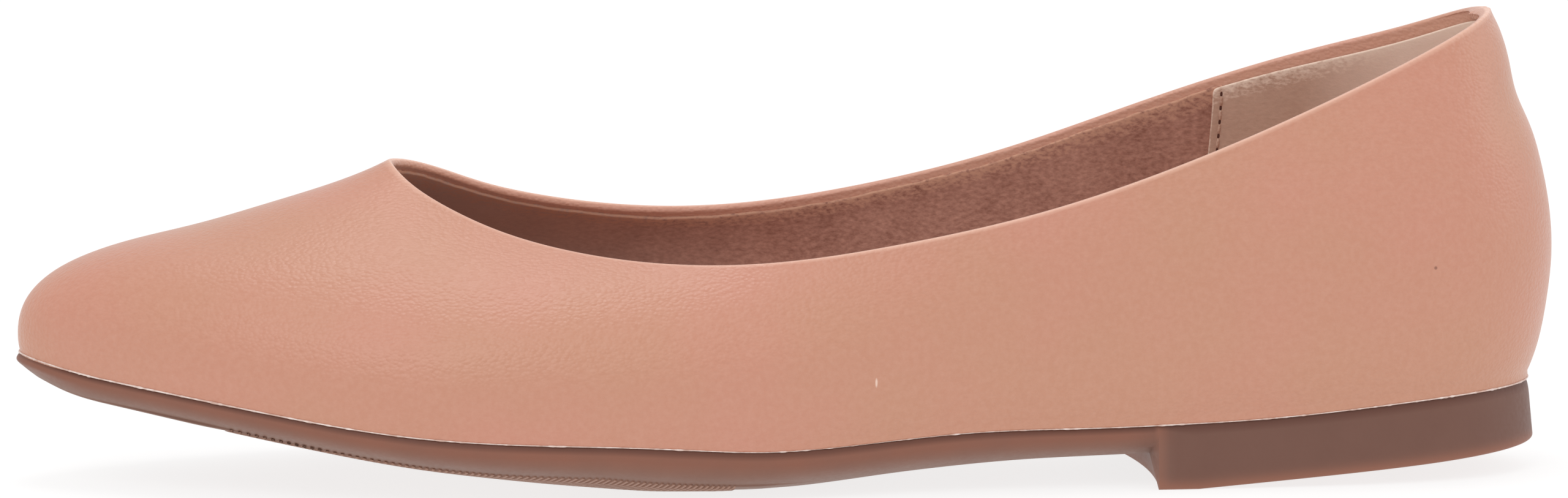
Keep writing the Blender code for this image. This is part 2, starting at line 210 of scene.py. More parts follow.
# %% The three lines of the shoe: feather, spine and collar
def foot(turn):
    """Feather line: centre plus or minus half width, at the seat's height."""
    share = share_of(turn)
    centre = BALL_WIDTH * oval(OUTLINE, 1, share, True)
    half = BALL_WIDTH * oval(OUTLINE, 2, share, False)
    x = place_x(share)
    return np.stack([x, centre + side_of(turn) * half, seat_height(x)], axis=-1)


def spine(turn):
    """Middle of the shoe, which both sides share, pulled in from the heel and from the toe."""
    share = share_of(turn)
    x = place_x(share)
    from_heel = place_x(0.0) - x
    from_toe = x - place_x(1.0)
    x = x - HEEL_SPINE * (1 - smoothstep(0, HEEL_SPINE + SPINE_EASE, from_heel))
    x = x + TOE_SPINE * (1 - smoothstep(0, TOE_SPINE + SPINE_EASE, from_toe))
    y = BALL_WIDTH * oval(OUTLINE, 1, share, True)
    return np.stack([x, y, seat_height(x)], axis=-1)


def collar(turn):
    """Top edge of the upper. The place is pushed forward by lean times s^2 (1 - s), so that the
    ribs of the forepart lean back to the throat."""
    share = share_of(turn)
    share = share + RIB_LEAN * share**2 * (1 - share)
    x = place_x(0.0) - BACK_LEAN - (LAST_LENGTH - VAMP_LENGTH - BACK_LEAN) * share
    centre = BALL_WIDTH * oval(COLLAR, 1, share, True)
    half = BALL_WIDTH * oval(COLLAR, 2, share, False)
    lateral = oval(COLLAR, 3, share, True)
    medial = oval(COLLAR, 4, share, True)
    z = BACK_HEIGHT * np.where(side_of(turn) < 0, lateral, medial)
    return np.stack([x, centre + side_of(turn) * half, z], axis=-1)


print("the throat is", round(float(collar(np.array(np.pi))[2]) / MM), "mm high")


# %% Directions out of a line, and a line moved inwards
NUDGE = 1e-3


def unit(vectors):
    """Each vector divided by its length."""
    return vectors / np.linalg.norm(vectors, axis=-1, keepdims=True)


def outward(line, turn):
    """Level direction out of a closed line: its forward difference turned a quarter turn."""
    along = line(turn + NUDGE) - line(turn - NUDGE)
    return unit(np.stack([-along[..., 1], along[..., 0], 0 * turn], axis=-1))


def inset(points, turn, distance):
    """Points moved level towards the spine, then laid on the seat."""
    way = spine(turn) - points
    way[..., 2] = 0
    moved = points + distance * unit(way)
    moved[..., 2] = seat_height(moved[..., 0])
    return moved


def raised(points, height):
    """Points moved up."""
    return points + np.array([0, 0, height])


# %% [markdown]
# ## The skin of the upper
# Leather pulled over a last takes a fair curve from the feather line to the collar, fuller near the
# sole and drawn in at the top. One cubic curve per rib gives that: its two handles say how far the
# rib swells and how it leans in. A subdivided cage could do it too, but then the collar and feather
# lines would only be near their true places.


# %% The skin as a function of turn and rise
def skin(turn, rise):
    """Cubic Bezier curve from the feather line (rise 0) to the collar (rise 1). The lower handle
    goes outward and up from the foot, the upper one outward and down from the collar."""
    share = share_of(turn)
    pulls = [cubic(RIBS[:, 0], RIBS[:, column], share, True)[..., None] for column in range(1, 6)]
    belly = np.where(side_of(turn)[..., None] < 0, pulls[0], pulls[1])
    start = raised(foot(turn), FEATHER_BEVEL)
    end = collar(turn)
    chord = np.linalg.norm(end - start, axis=-1, keepdims=True)
    up = np.array([0, 0, 1.0])
    low = start + chord * (belly * outward(foot, turn) + pulls[2] * up)
    high = end + chord * (pulls[3] * outward(collar, turn) - pulls[4] * up)
    at = rise[..., None]
    first = (1 - at)**3 * start + 3 * (1 - at)**2 * at * low
    return first + 3 * (1 - at) * at**2 * high + at**3 * end


def skin_normal(turn, rise):
    """Direction out of the skin: the cross product of its step up a rib and its step round."""
    round_it = skin(turn + NUDGE, rise) - skin(turn - NUDGE, rise)
    up_it = skin(turn, rise + NUDGE) - skin(turn, rise - NUDGE)
    return unit(np.cross(up_it, round_it))


# %% Where a depth below the collar lies on a rib
LENGTH_STEPS = 64


def rib_steps(turn):
    """Lengths of short steps down each rib (a row), from the collar to the feather line."""
    steps = np.linspace(1, 0, LENGTH_STEPS + 1)
    points = skin(turn[:, :1] + 0 * steps, steps + 0 * turn[:, :1])
    return np.linalg.norm(np.diff(points, axis=1), axis=2)


def rise_down(turn, down):
    """The rise at distances below the collar: the steps of each rib are summed up, and each distance
    is found between two of the sums."""
    sums = np.cumsum(rib_steps(turn), axis=1)
    sums = np.concatenate([0 * sums[:, :1], sums], axis=1)
    left = (sums[:, None, :] <= down[:, :, None]).sum(axis=2) - 1
    left = np.clip(left, 0, LENGTH_STEPS - 1)
    low = np.take_along_axis(sums, left, axis=1)
    high = np.take_along_axis(sums, left + 1, axis=1)
    return 1 - (left + (down - low) / (high - low)) / LENGTH_STEPS


def rib_length(turn):
    """Length of each rib from collar to feather line: the sum of its steps."""
    return rib_steps(turn).sum(axis=1, keepdims=True)


# %% The ribs of the fine surfaces
RIB_COUNT = 720
CROWDING = 0.5


def even_turns(count):
    """Turns from 0 to a full one, crowded near heel and toe: each is pushed back by the sine of
    twice itself, so that tight bends get closer ribs."""
    even = np.arange(count) * 2 * np.pi / count
    return even - CROWDING / 2 * np.sin(2 * even)


TURNS = even_turns(RIB_COUNT)[:, None]
print("the collar is", round(rib_length(TURNS)[0, 0] / MM), "mm above the feather line at the back")

# %% [markdown]
# ## Meshes from rings
# Every piece here is a row of closed rings: a section of the piece, repeated round the shoe or along
# a short path. One helper joins each ring to the next by four-sided faces. It works on whole arrays,
# which is quick, and it keeps the faces in order, so they point outwards if the ring runs the right
# way round.


# %% A mesh in the frame
def place(points):
    """Lays points of the last into the frame: the middle of the sole's box goes to the node's."""
    return points + FRAME_SHIFT


def mesh_piece(name, points, faces, crisp=40):
    """A mesh object from points and faces that are already worked out, smooth up to an angle."""
    mesh = bpy.data.meshes.new(name)
    mesh.from_pydata(place(points).tolist(), [], faces)
    mesh.validate()
    mesh.shade_smooth()
    mesh.set_sharp_from_angle(angle=np.radians(crisp))
    piece = bpy.data.objects.new(name, mesh)
    bpy.context.scene.collection.objects.link(piece)
    return piece


# %% Faces between rings and across an end
def ring_faces(numbers, round_trip):
    """Four corners for each face between two neighbouring rings, and between the last and the first
    one where the rings go all the way round."""
    ring = np.concatenate([numbers, numbers[:, :1]], axis=1)
    if round_trip:
        ring = np.concatenate([ring, ring[:1]])
    corners = (ring[:-1, :-1], ring[1:, :-1], ring[1:, 1:], ring[:-1, 1:])
    return np.stack(corners, axis=2).reshape(-1, 4)


def cap_faces(ring):
    """A ring closed by faces across it, from its first half to its second."""
    half = len(ring) // 2
    first = ring[:half]
    second = ring[::-1][:half]
    return np.stack([first[:-1], first[1:], second[1:], second[:-1]], axis=1)


# %% Closed pieces from rings
def loft(name, rings, round_trip, crisp=40):
    """A closed piece from rings: all the way round, or along a stretch with both ends capped."""
    numbers = np.arange(rings.shape[0] * rings.shape[1]).reshape(rings.shape[:2])
    faces = ring_faces(numbers, round_trip)
    if not round_trip:
        faces = np.concatenate([faces, cap_faces(numbers[0]), cap_faces(numbers[-1])[:, ::-1]])
    return mesh_piece(name, rings.reshape(-1, 3), faces.tolist(), crisp)


def copies(name, rings, crisp=60):
    """Many small closed pieces in one mesh: rings has one more axis in front, one entry a copy."""
    count, rows, points = rings.shape[:3]
    numbers = np.arange(rows * points).reshape(rows, points)
    faces = np.concatenate([
        ring_faces(numbers, False), cap_faces(numbers[0]), cap_faces(numbers[-1])[:, ::-1],
    ])
    starts = np.arange(count)[:, None, None] * rows * points
    faces = (faces[None] + starts).reshape(-1, 4)
    return mesh_piece(name, rings.reshape(-1, 3), faces.tolist(), crisp)


# %% [markdown]
# ## The sole
# The sole is one moulding of brown rubber: forepart, waist and a low heel, with a rounded lower edge
# and a tread panel that stands a third of a millimetre proud. Its section changes along the shoe, so
# it is worked out rib by rib, from the middle of the seat over the rim and down to the ground. Two
# ribs meet at the heel's front, and the wall between them is the heel's breast. Round the toe's tip
# the rim stands up as a small lip.

# %% Sizes of the sole, in metres
WAIST_RISE = 0.0048
TOE_GROUND_RISE = 0.0176
CROWN = 0.0020
FLANK = 0.0084
FLANK_POWER = 3.4
TREAD_STEP = 0.00035
HEEL_LENGTH = 0.0652
HEEL_FLAT = 0.0065
HEEL_BACK_RISE = 0.0047
HEEL_FLARE = 0.0009
HEEL_EDGE = 0.0006
BREAST_LEAN = 0.0008
BREAST_BOW = 0.0018
RIM_ROUND = 0.00035
RIM_ROUND_FROM = 0.70
RIM_ROUND_TO = 0.98
SEAM_DROP = 0.00040
TOE_BULGE = 0.00055
TOE_BULGE_EASE = (0.93, 0.995)
TOE_BULGE_HEIGHT = 0.62
TOE_BULGE_SPREAD = 0.22
TOE_LIP = 0.0010
TOE_LIP_FROM = 0.95
TOE_LIP_POWER = 1.5
HEEL_CURL = 0.06
MATCH_ROW = 0.50
MATCH_LENGTH = 0.006
BREAST_TOP = HEEL_LENGTH / LAST_LENGTH
BREAST_FOOT = (HEEL_LENGTH + BREAST_LEAN) / LAST_LENGTH
FOREFOOT_FLAT = (0.505, 0.586)
FLAT_SHARE = 0.30
FLAT_EASE = 0.10
TINY = 1e-7
print("heel:", round(HEEL_LENGTH / MM, 1), "mm long; forefoot flat:",
      round((FOREFOOT_FLAT[1] - FOREFOOT_FLAT[0]) * LAST_LENGTH / MM, 1), "mm long")

# %% The ground side along the middle, and the rounded edge
# Columns: place, height as a share of the waist rise behind the flat spot of the forefoot.
WAIST = np.array([
    (0.200, 1.020), (0.255, 1.000), (0.300, 0.910), (0.350, 0.780), (0.400, 0.560), (0.443, 0.310),
    (0.475, 0.100), (FOREFOOT_FLAT[0], 0.000),
])
# Columns: place, height as a share of the toe's rise before the flat spot.
FOREPART = np.array([
    (FOREFOOT_FLAT[1], 0.000), (0.620, 0.022), (0.660, 0.068), (0.706, 0.145), (0.753, 0.240),
    (0.800, 0.365), (0.846, 0.500), (0.893, 0.640), (0.939, 0.768), (0.972, 0.880), (1.000, 1.000),
])
# Columns: place, crown across the sole, width of the rounded flank, step of the tread panel.
FLANKS = np.array([
    (0.00, 0.30, 0.45, 0.0), (0.25, 0.35, 0.45, 0.0), (0.35, 0.50, 0.60, 0.0),
    (0.45, 0.80, 0.85, 0.0), (0.49, 0.95, 0.85, 0.1), (0.52, 1.00, 0.66, 0.5),
    (0.55, 1.00, 0.65, 1.0), (0.62, 1.00, 1.00, 1.0), (0.72, 0.90, 0.90, 1.0),
    (0.82, 0.65, 0.70, 1.0), (0.90, 0.40, 0.50, 0.8), (1.00, 0.10, 0.30, 0.0),
])
# Columns: place, height share of the crisp line at the top of the tread panel.
TREAD_TOPS = np.array([
    (0.00, 0.06), (0.52, 0.06), (0.54, 0.08), (0.557, 0.11), (0.593, 0.18), (0.628, 0.24),
    (0.663, 0.18), (0.70, 0.09), (0.74, 0.05), (1.00, 0.05),
])
LINE_ROW = 0.32
LINE_WIDTH = 0.01


# %% Heights of the ground side
def ground_height(x):
    """Ground side along the middle, before the heel: the waist's or the forepart's table, level
    between them."""
    share = share_at(x)
    waist = cubic(WAIST[:, 0], WAIST[:, 1], np.minimum(share, FOREFOOT_FLAT[0]), True)
    forepart = cubic(FOREPART[:, 0], FOREPART[:, 1], np.maximum(share, FOREFOOT_FLAT[1]), True)
    rise = np.where(share < FOREFOOT_FLAT[0], WAIST_RISE * waist, TOE_GROUND_RISE * forepart)
    on_flat = (share > FOREFOOT_FLAT[0] - TINY) & (share < FOREFOOT_FLAT[1] + TINY)
    return np.where(on_flat, 0.0, rise)


print("the toe springs up", round(float(ground_height(place_x(1.0))) / MM, 1), "mm")


# %% Heights and sizes along the sole
def heel_height(x):
    """Ground side of the heel: level behind the breast, then a straight slope up to the back."""
    flat_end = place_x(0.0) - HEEL_LENGTH + HEEL_FLAT
    slope = HEEL_BACK_RISE / (HEEL_LENGTH - HEEL_FLAT)
    return slope * np.maximum(0.0, x - flat_end)


def flank_sizes(turn):
    """Crown, flank width and tread step at a turn: shares from the table times their sizes."""
    share = share_of(turn)
    crown = CROWN * cubic(FLANKS[:, 0], FLANKS[:, 1], share, True)
    flank = FLANK * cubic(FLANKS[:, 0], FLANKS[:, 2], share, True)
    step = TREAD_STEP * cubic(FLANKS[:, 0], FLANKS[:, 3], share, True)
    return crown, flank, np.clip(step, 0, TREAD_STEP)


def tread_top(turn):
    """Height share of the crisp line: straight stretches between the rows of the table."""
    return np.interp(share_of(turn), TREAD_TOPS[:, 0], TREAD_TOPS[:, 1])


def warped(turn, height):
    """Height shares moved so that the closely set rows at LINE_ROW fall on the crisp line: both
    parts, above and below it, are stretched evenly."""
    top = tread_top(turn)
    above = top + (height - LINE_ROW) / (1 - LINE_ROW) * (1 - top)
    return np.where(height > LINE_ROW, above, height / LINE_ROW * top)


# %% The ribbing that is cut into the tread panel
RIB_PITCH = 0.00100
RIB_DEPTH = 0.00028
PANEL = (0.515, 0.900)
PANEL_EASE = 0.05


def groove(turn):
    """Depth of the grooves between the ribs: full on the panel, and nothing past both its ends."""
    share = share_of(turn)
    start = smoothstep(PANEL[0], PANEL[0] + PANEL_EASE, share)
    end = smoothstep(PANEL[1] - PANEL_EASE, PANEL[1], share)
    return RIB_DEPTH * start * (1 - end)


print("panel:", round((PANEL[1] - PANEL[0]) * LAST_LENGTH / MM), "mm long")


# %% The rim and the side as functions of turn and height
def rim_tuck(height):
    """How far the rim is rolled in: a quarter of an ellipse over the top part of the side."""
    way = smoothstep(RIM_ROUND_FROM, 1.0, height)
    return RIM_ROUND * (1 - np.sqrt(1 - RIM_ROUND_TO * way**2))


def toe_lip(turn):
    """How much higher the rim stands round the toe's tip: its size times a power of the way from
    TOE_LIP_FROM to the tip."""
    way = np.clip((share_of(turn) - TOE_LIP_FROM) / (1 - TOE_LIP_FROM), 0, 1)
    return TOE_LIP * way**TOE_LIP_POWER


def rim_line(turn):
    """Rim of the sole: the feather line lowered by the seam's drop, and lifted by the toe's lip."""
    rim = raised(foot(turn), -SEAM_DROP)
    rim[..., 2] += toe_lip(turn)
    return rim


def side_point(turn, height, cut):
    """Side of the sole at a height share, 1 at the rim: it is pulled in by the flank times
    (1 - height)^power, and below the crisp line it stands proud by the step less the cut. Round the
    toe it swells by a bell curve over the height."""
    crown, flank, step = flank_sizes(turn)
    rim = rim_line(turn)
    line = tread_top(turn)
    low_panel = 1 - smoothstep(line - LINE_WIDTH, line + LINE_WIDTH, height)
    toe = TOE_BULGE * smoothstep(*TOE_BULGE_EASE, share_of(turn))
    swell = toe * np.exp(-((height - TOE_BULGE_HEIGHT) / TOE_BULGE_SPREAD)**2)
    proud = (step - cut) * low_panel + swell
    pulled = flank * (1 - height)**FLANK_POWER
    sole = rim + (proud - pulled - rim_tuck(height))[..., None] * outward(foot, turn)
    low = ground_height(sole[..., 0]) + crown
    sole[..., 2] = low + height * (rim[..., 2] - low) - (step - cut) * low_panel
    return sole


# %% The side of the heel
def matched(turn, height, bottom, top):
    """Share up the straight part of the heel's side. Near the breast the rows above MATCH_ROW take
    the heights of the waist's side, so that the breast is cut off square below them."""
    straight = np.clip((height - HEEL_CURL) / (1 - HEEL_CURL), 0, 1)
    waist = side_point(turn, np.maximum(height, MATCH_ROW), 0 * height)[..., 2]
    low_part = np.clip((height - HEEL_CURL) / (MATCH_ROW - HEEL_CURL), 0, 1)
    same = (waist - bottom) / (top - bottom) * low_part
    behind = place_x(share_of(turn)) - place_x(BREAST_TOP)
    near = 1 - smoothstep(0.0, MATCH_LENGTH, behind)
    return straight + near * (same - straight)


def heel_point(turn, height):
    """Side of the heel: it flares out evenly, and its lower edge is a quarter round."""
    rim = rim_line(turn)
    bottom = heel_height(rim[..., 0]) + HEEL_EDGE + 0 * height
    share = matched(turn, height, bottom, rim[..., 2])
    curl = 1 - np.clip(height / HEEL_CURL, 0, 1)
    edge = HEEL_FLARE * (1 - share) - rim_tuck(height) - HEEL_EDGE * (1 - np.sqrt(1 - curl**2))
    heel = rim + edge[..., None] * outward(foot, turn)
    heel[..., 2] = bottom - HEEL_EDGE * curl + share * (rim[..., 2] - bottom)
    return heel


# %% The ground side
def ground_point(turn, share, cut):
    """Ground side of the sole: straight from the middle (share 0) to the lower edge (share 1), at
    the ground's height plus the crown times the square of the share beyond the flat middle."""
    crown, _, step = flank_sizes(turn)
    middle = spine(turn)
    edge = side_point(turn, 0 * share, cut)
    ground = middle + share[..., None] * (edge - middle)
    dished = np.maximum(0.0, (share - FLAT_SHARE) / (1 - FLAT_SHARE))**2
    blended = smoothstep(FLAT_SHARE, FLAT_SHARE + FLAT_EASE, share)
    height = ground_height(ground[..., 0]) + crown * dished - step * blended
    ground[..., 2] = np.maximum(height, 0.0) + cut
    return ground


# %% Rows and ribs of the sole
# Height shares of the rows down the side, close together at the crisp line and at the lower edge.
HEIGHTS = np.concatenate([
    np.linspace(1, 0.72, 8), np.linspace(0.68, 0.34, 9), [0.33, 0.325, 0.32, 0.315, 0.31],
    np.linspace(0.28, 0.08, 7), [0.06, 0.045, 0.03, 0.018, 0.008, 0.002, 0.0],
])
GROUND_SHARES = np.linspace(0.96, 0.04, 24)


def sole_turns():
    """The even turns, with the nearest ones moved to both sides of the heel's breast and to the ends
    of the flat spots."""
    turns = even_turns(RIB_COUNT)
    heel_flat = BREAST_TOP - HEEL_FLAT / LAST_LENGTH
    for share in (heel_flat, BREAST_TOP, BREAST_FOOT, *FOREFOOT_FLAT):
        place_turn = turn_at(share)
        nearest = int(np.argmin(abs(turns - place_turn)))
        turns[nearest] = place_turn
        turns[-nearest] = 2 * np.pi - place_turn
    return turns[:, None]


SOLE_TURNS = sole_turns()
print("sole:", len(SOLE_TURNS), "ribs of", len(HEIGHTS) + len(GROUND_SHARES) + 3, "points")


# %% The rings of the sole
def bowed(points, turn, share):
    """The ribs of the heel's breast moved back, most in the middle: bow times 1 - share^2."""
    near = np.isclose(share_of(turn), BREAST_TOP) | np.isclose(share_of(turn), BREAST_FOOT)
    points[..., 0] += BREAST_BOW * (1 - share**2) * near
    return points


def sole_rings(turn):
    """Each ring runs from the middle of the seat over the rim, down the side and along the ground
    side back to the middle."""
    on_heel = share_of(turn) < BREAST_TOP + TINY
    heel = on_heel[..., None]
    heights = np.where(on_heel, HEIGHTS, warped(turn, HEIGHTS[None, :]))
    shares = GROUND_SHARES[None, :] + 0 * turn
    cut = groove(turn) + 0 * heights
    side = np.where(heel, heel_point(turn, heights), side_point(turn, heights, cut))
    middle = spine(turn)
    heel_ground = middle + shares[..., None] * (side[:, -1:] - middle)
    heel_ground[..., 2] = heel_height(heel_ground[..., 0])
    ground = np.where(heel, heel_ground, ground_point(turn, shares, cut[:, :1] + 0 * shares))
    bottom = middle.copy()
    x = bottom[..., 0]
    bottom[..., 2] = np.where(on_heel, heel_height(x), ground_height(x) + groove(turn))
    seat = np.concatenate([middle, (middle + side[:, :1]) / 2], axis=1)
    ground = bowed(ground, turn, shares)
    bottom = bowed(bottom, turn, 0 * turn)
    return np.concatenate([seat, side, ground, bottom], axis=1)


# %% Lay the fine sole on the plain one
def sewn_numbers(count, rows):
    """Numbers of the points, where both sides share the points of the middle."""
    numbers = np.arange(count * rows).reshape(count, rows)
    other = (-np.arange(count)) % count
    first = np.minimum(np.arange(count), other)
    numbers[:, 0] = numbers[first, 0]
    numbers[:, -1] = numbers[first, -1]
    return numbers


def sewn_loft(name, rings, crisp=40):
    """A closed piece whose rings run from middle to middle over one side: open rings, joined to
    their neighbours, with the spare points of the middle left out."""
    numbers = sewn_numbers(*rings.shape[:2])
    ahead = np.roll(numbers, -1, axis=0)
    corners = (numbers[:, :-1], ahead[:, :-1], ahead[:, 1:], numbers[:, 1:])
    faces = np.stack(corners, axis=2).reshape(-1, 4)
    used, faces = np.unique(faces, return_inverse=True)
    piece = mesh_piece(name, rings.reshape(-1, 3)[used], faces.reshape(-1, 4).tolist(), crisp)
    return piece, used


SOLE_RINGS = sole_rings(SOLE_TURNS)
sole_low, sole_high = (np.array(corner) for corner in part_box("outsole"))
raw_low, raw_high = SOLE_RINGS.min(axis=(0, 1)), SOLE_RINGS.max(axis=(0, 1))
FRAME_SHIFT = (sole_low + sole_high - raw_low - raw_high) / 2
FRAME_SHIFT[2] = 0.0
sole, sole_points = sewn_loft("moulded_sole", SOLE_RINGS)
print("sole:", len(sole.data.polygons), "faces, moved by", (FRAME_SHIFT / MM).round(2), "mm")

# %% [markdown]
# ## The ribbed tread
# From the side the tread shows as a fine serration: slanted ribs, one to the millimetre. They could
# be a bump, but a bump leaves the outline smooth. Each rib is a small bar instead, a trapezoid
# carried from the lateral edge under the sole to the medial one, and all of them are one mesh.


# %% The path of each rib across the panel
RIB_SLANT = 0.60
RIB_POINTS = 16
RIB_SINK = 0.00008
RIB_BASE = 0.32 * RIB_PITCH
RIB_CREST = 0.20 * RIB_PITCH
RIB_CROWDING = 0.45
SHORTEST = 12
SETTLING = 12
EDGE_SHARE = 0.84
RIB_REACH = (0.30, 0.97)
STEPS_ACROSS = 160


def under_point(share, across):
    """The panel's surface at a place and a share across, -1 on the lateral edge and 1 on the medial
    one: the ground side up to EDGE_SHARE, then the rounded flank up to the crisp line."""
    turn = np.where(across < 0, turn_at(share), 2 * np.pi - turn_at(share))
    level = np.minimum(abs(across) / EDGE_SHARE, 1)
    height = tread_top(turn) * np.clip((abs(across) - EDGE_SHARE) / (1 - EDGE_SHARE), 0, 1)
    flat = ground_point(turn, level, 0 * turn)
    flank = side_point(turn, height, 0 * turn)
    return np.where((abs(across) < EDGE_SHARE)[..., None], flat, flank)


def rib_share(start, across):
    """The place of a rib at a share across: its start moved forward by the slant times the way
    across. The way across depends on the place, so the sum is repeated until it settles."""
    share = start + 0 * across
    for _ in range(SETTLING):
        safe = np.clip(share, *RIB_REACH)
        way = under_point(safe, across)[..., 1] + BALL_WIDTH / 2
        share = start + RIB_SLANT * way / LAST_LENGTH
    return share


# %% Bars along the paths
def rib_bars():
    """Centre line, side and outward direction of each rib give the four corners of its section. A
    rib is cut off where it leaves the panel, and left out where hardly any of it is inside."""
    reach = RIB_SLANT * BALL_WIDTH / LAST_LENGTH
    pitch = RIB_PITCH / LAST_LENGTH
    starts = np.arange(PANEL[0] - reach, PANEL[1], pitch)[:, None]
    across = np.linspace(-1, 1, STEPS_ACROSS + 1)[None, :]
    share = rib_share(starts, across + 0 * starts)
    inside = (share > PANEL[0] + PANEL_EASE / 2) & (share < PANEL[1] - PANEL_EASE / 2)
    long_enough = inside.sum(axis=1) > SHORTEST
    starts, inside = starts[long_enough], inside[long_enough]
    first = across[0, inside.argmax(axis=1)][:, None]
    last = across[0, inside.shape[1] - 1 - inside[:, ::-1].argmax(axis=1)][:, None]
    even = np.linspace(0, 1, RIB_POINTS)[None, :]
    crowded = even - RIB_CROWDING / np.pi * np.sin(2 * np.pi * even) / 2
    across = first + (last - first) * crowded
    share = rib_share(starts, across)
    centre = under_point(share, across)
    forward = under_point(share + NUDGE, across) - under_point(share - NUDGE, across)
    along = np.gradient(centre, axis=1)
    out = unit(np.cross(forward, along))
    out = np.where(out[..., 2:] > 0, -out, out)
    side = unit(np.cross(out, along))
    base = centre - (RIB_DEPTH + RIB_SINK) * out
    corners = [
        base - RIB_BASE * side, centre - RIB_CREST * side,
        centre + RIB_CREST * side, base + RIB_BASE * side,
    ]
    return np.stack(corners, axis=2)[:, :, ::-1]


tread = copies("tread_ribs", rib_bars(), crisp=30)
print("tread:", len(tread.data.polygons), "faces")

# %% [markdown]
# ## The leather upper
# The upper is one hide of thin leather. At the collar it is turned over and glued down inside, so
# the edge is a soft roll with a strip of leather below it, and at the back the two ends of the hide
# meet in a pressed seam. The ring of one rib therefore runs up the outside, over the roll, down the
# strip and the hidden inner side, and under the foot to the lasting margin.

# %% Sizes of the leather, in metres
HIDE = 0.0010
FOLDED = 0.0014
FOLD_EASE = (0.0008, 0.0022)
TURNED_IN = 0.0080
STRIP_GAP = 0.0004
FEATHER_GAP = 0.0020
ROLL = 0.00045
BACK_BULK = 0.0018
BACK_BULK_WIDTH = 0.0045
BACK_PART = 0.2
MARGIN_LIFT = 0.0001
SEAM_GROOVE = 0.00030
SEAM_HALF_WIDTH = 0.00030
SEAM_WELT = 0.00016
SEAM_WELT_AT = 0.0013
SEAM_WELT_HALF_WIDTH = 0.0007
SEAM_EASE = (0.02, 0.05)
# Points of a ring on the outside, over the roll, on the turned-in strip and on the hidden rest.
SKIN_ROWS = 72
ROLL_ROWS = 10
STRIP_ROWS = 18
STRIP_POWER = 1.5
REST_ROWS = 8
# Columns: distance inwards from the feather line and lift, in millimetres.
CURL = ((0.90, -0.36), (0.35, -0.34), (0.08, -0.20), (0.00, 0.10))


# %% The back seam and the soft hollows of the hide
def back_seam(turn, points):
    """A narrow groove on the centre line with a low welt on either side, as two bell curves over
    the distance from the seam."""
    near = 1 - smoothstep(*SEAM_EASE, share_of(turn))
    away = abs(points[..., 1])
    dip = SEAM_GROOVE * np.exp(-(away / SEAM_HALF_WIDTH)**2)
    welt = SEAM_WELT * np.exp(-((away - SEAM_WELT_AT) / SEAM_WELT_HALF_WIDTH)**2)
    return near * (welt - dip)


# Columns: place, rise, length along the shoe and up the rib as shares, height in millimetres.
HOLLOWS = np.array([
    (0.00, 1.00, 0.02, 0.05, -0.40), (0.00, 0.74, 0.03, 0.09, -0.88),
    (0.00, 0.45, 0.05, 0.08, 0.05), (0.00, 0.18, 0.05, 0.12, -0.42),
    (1.00, 0.08, 0.03, 0.08, -0.20), (1.00, 0.30, 0.06, 0.09, 0.10),
    (1.00, 0.60, 0.06, 0.13, -0.55), (0.30, 0.62, 0.10, 0.20, -0.16),
    (0.44, 0.45, 0.09, 0.22, 0.14), (0.58, 0.60, 0.08, 0.18, -0.14),
    (0.72, 0.42, 0.07, 0.20, 0.14), (0.84, 0.50, 0.06, 0.22, -0.10),
    (0.94, 0.90, 0.04, 0.14, 0.10),
])


def hollows(turn, rise):
    """Soft hollows and swells of the hide: one round bell curve for each row of the table."""
    share = share_of(turn)
    total = 0 * share * rise
    for at, up, long, high, height in HOLLOWS:
        total = total + height * MM * np.exp(-((share - at) / long)**2 - ((rise - up) / high)**2)
    return total


# %% The rings of the leather
def hide_rings(turn):
    """Outside from feather to collar, half an oval over the roll, then the inner side at the depth
    of the folded or the single hide, the margin under the foot, and the curl at the feather line.
    Behind the heel the fold is thicker by a bell curve over the distance from the seam."""
    rise = np.linspace(0, 1, SKIN_ROWS + 1)[None, :] + 0 * turn
    outside = skin(turn, rise)
    normal = skin_normal(turn, rise)
    swell = hollows(turn, rise) + back_seam(turn, outside)
    outside = outside + swell[..., None] * normal
    top, top_normal = outside[:, -1:], normal[:, -1:]
    bulk = BACK_BULK * np.exp(-(top[..., 1] / BACK_BULK_WIDTH)**2) * (share_of(turn) < BACK_PART)
    fold = FOLDED + bulk
    way_up = unit(top - outside[:, -2:-1])
    angle = np.linspace(0, np.pi, ROLL_ROWS + 2)[None, 1:-1, None]
    across = fold[..., None] / 2 * (1 - np.cos(angle))
    roll = top - across * top_normal + ROLL * np.sin(angle) * way_up
    strip = TURNED_IN * np.linspace(0, 1, STRIP_ROWS)[None, :]**STRIP_POWER + 0 * turn
    rest = (rib_length(turn) - TURNED_IN - FEATHER_GAP) * np.linspace(0, 1, REST_ROWS)
    down = np.concatenate([strip, TURNED_IN + STRIP_GAP + rest], axis=1)
    inner_rise = rise_down(turn + 0 * down, down)
    folded = FOLDED + bulk * (1 - smoothstep(*FOLD_EASE, down))
    depth = np.where(down <= TURNED_IN, folded, HIDE)
    seam = back_seam(turn, skin(turn, inner_rise)) * (down < TURNED_IN)
    inner = skin(turn, inner_rise) - (depth + seam)[..., None] * skin_normal(turn, inner_rise)
    corner = raised(inset(foot(turn), turn, WALL), HIDE)
    margin = inset(foot(turn), turn, LASTING_MARGIN)
    under = [corner, raised(margin, HIDE), raised(margin, MARGIN_LIFT)]
    curl = [raised(foot(turn) - inwards * MM * outward(foot, turn), lift * MM)
            for inwards, lift in CURL]
    return np.concatenate([outside, roll, inner, *under, *curl], axis=1)[:, ::-1]


leather = loft("leather_upper", hide_rings(TURNS), True)
print("leather:", len(leather.data.polygons), "faces")

# %% [markdown]
# ## The lining
# Inside, brown microsuede is glued over the turned-in leather and stops about 1 mm below the edge.
# Its cut edge is raw and a little wavy. A shell of its own, with a rounded upper edge, catches the
# light there as the real one does.

# %% Sizes of the lining, in metres
EDGE_DOWN = 0.00095
EDGE_WAVE = 0.00009
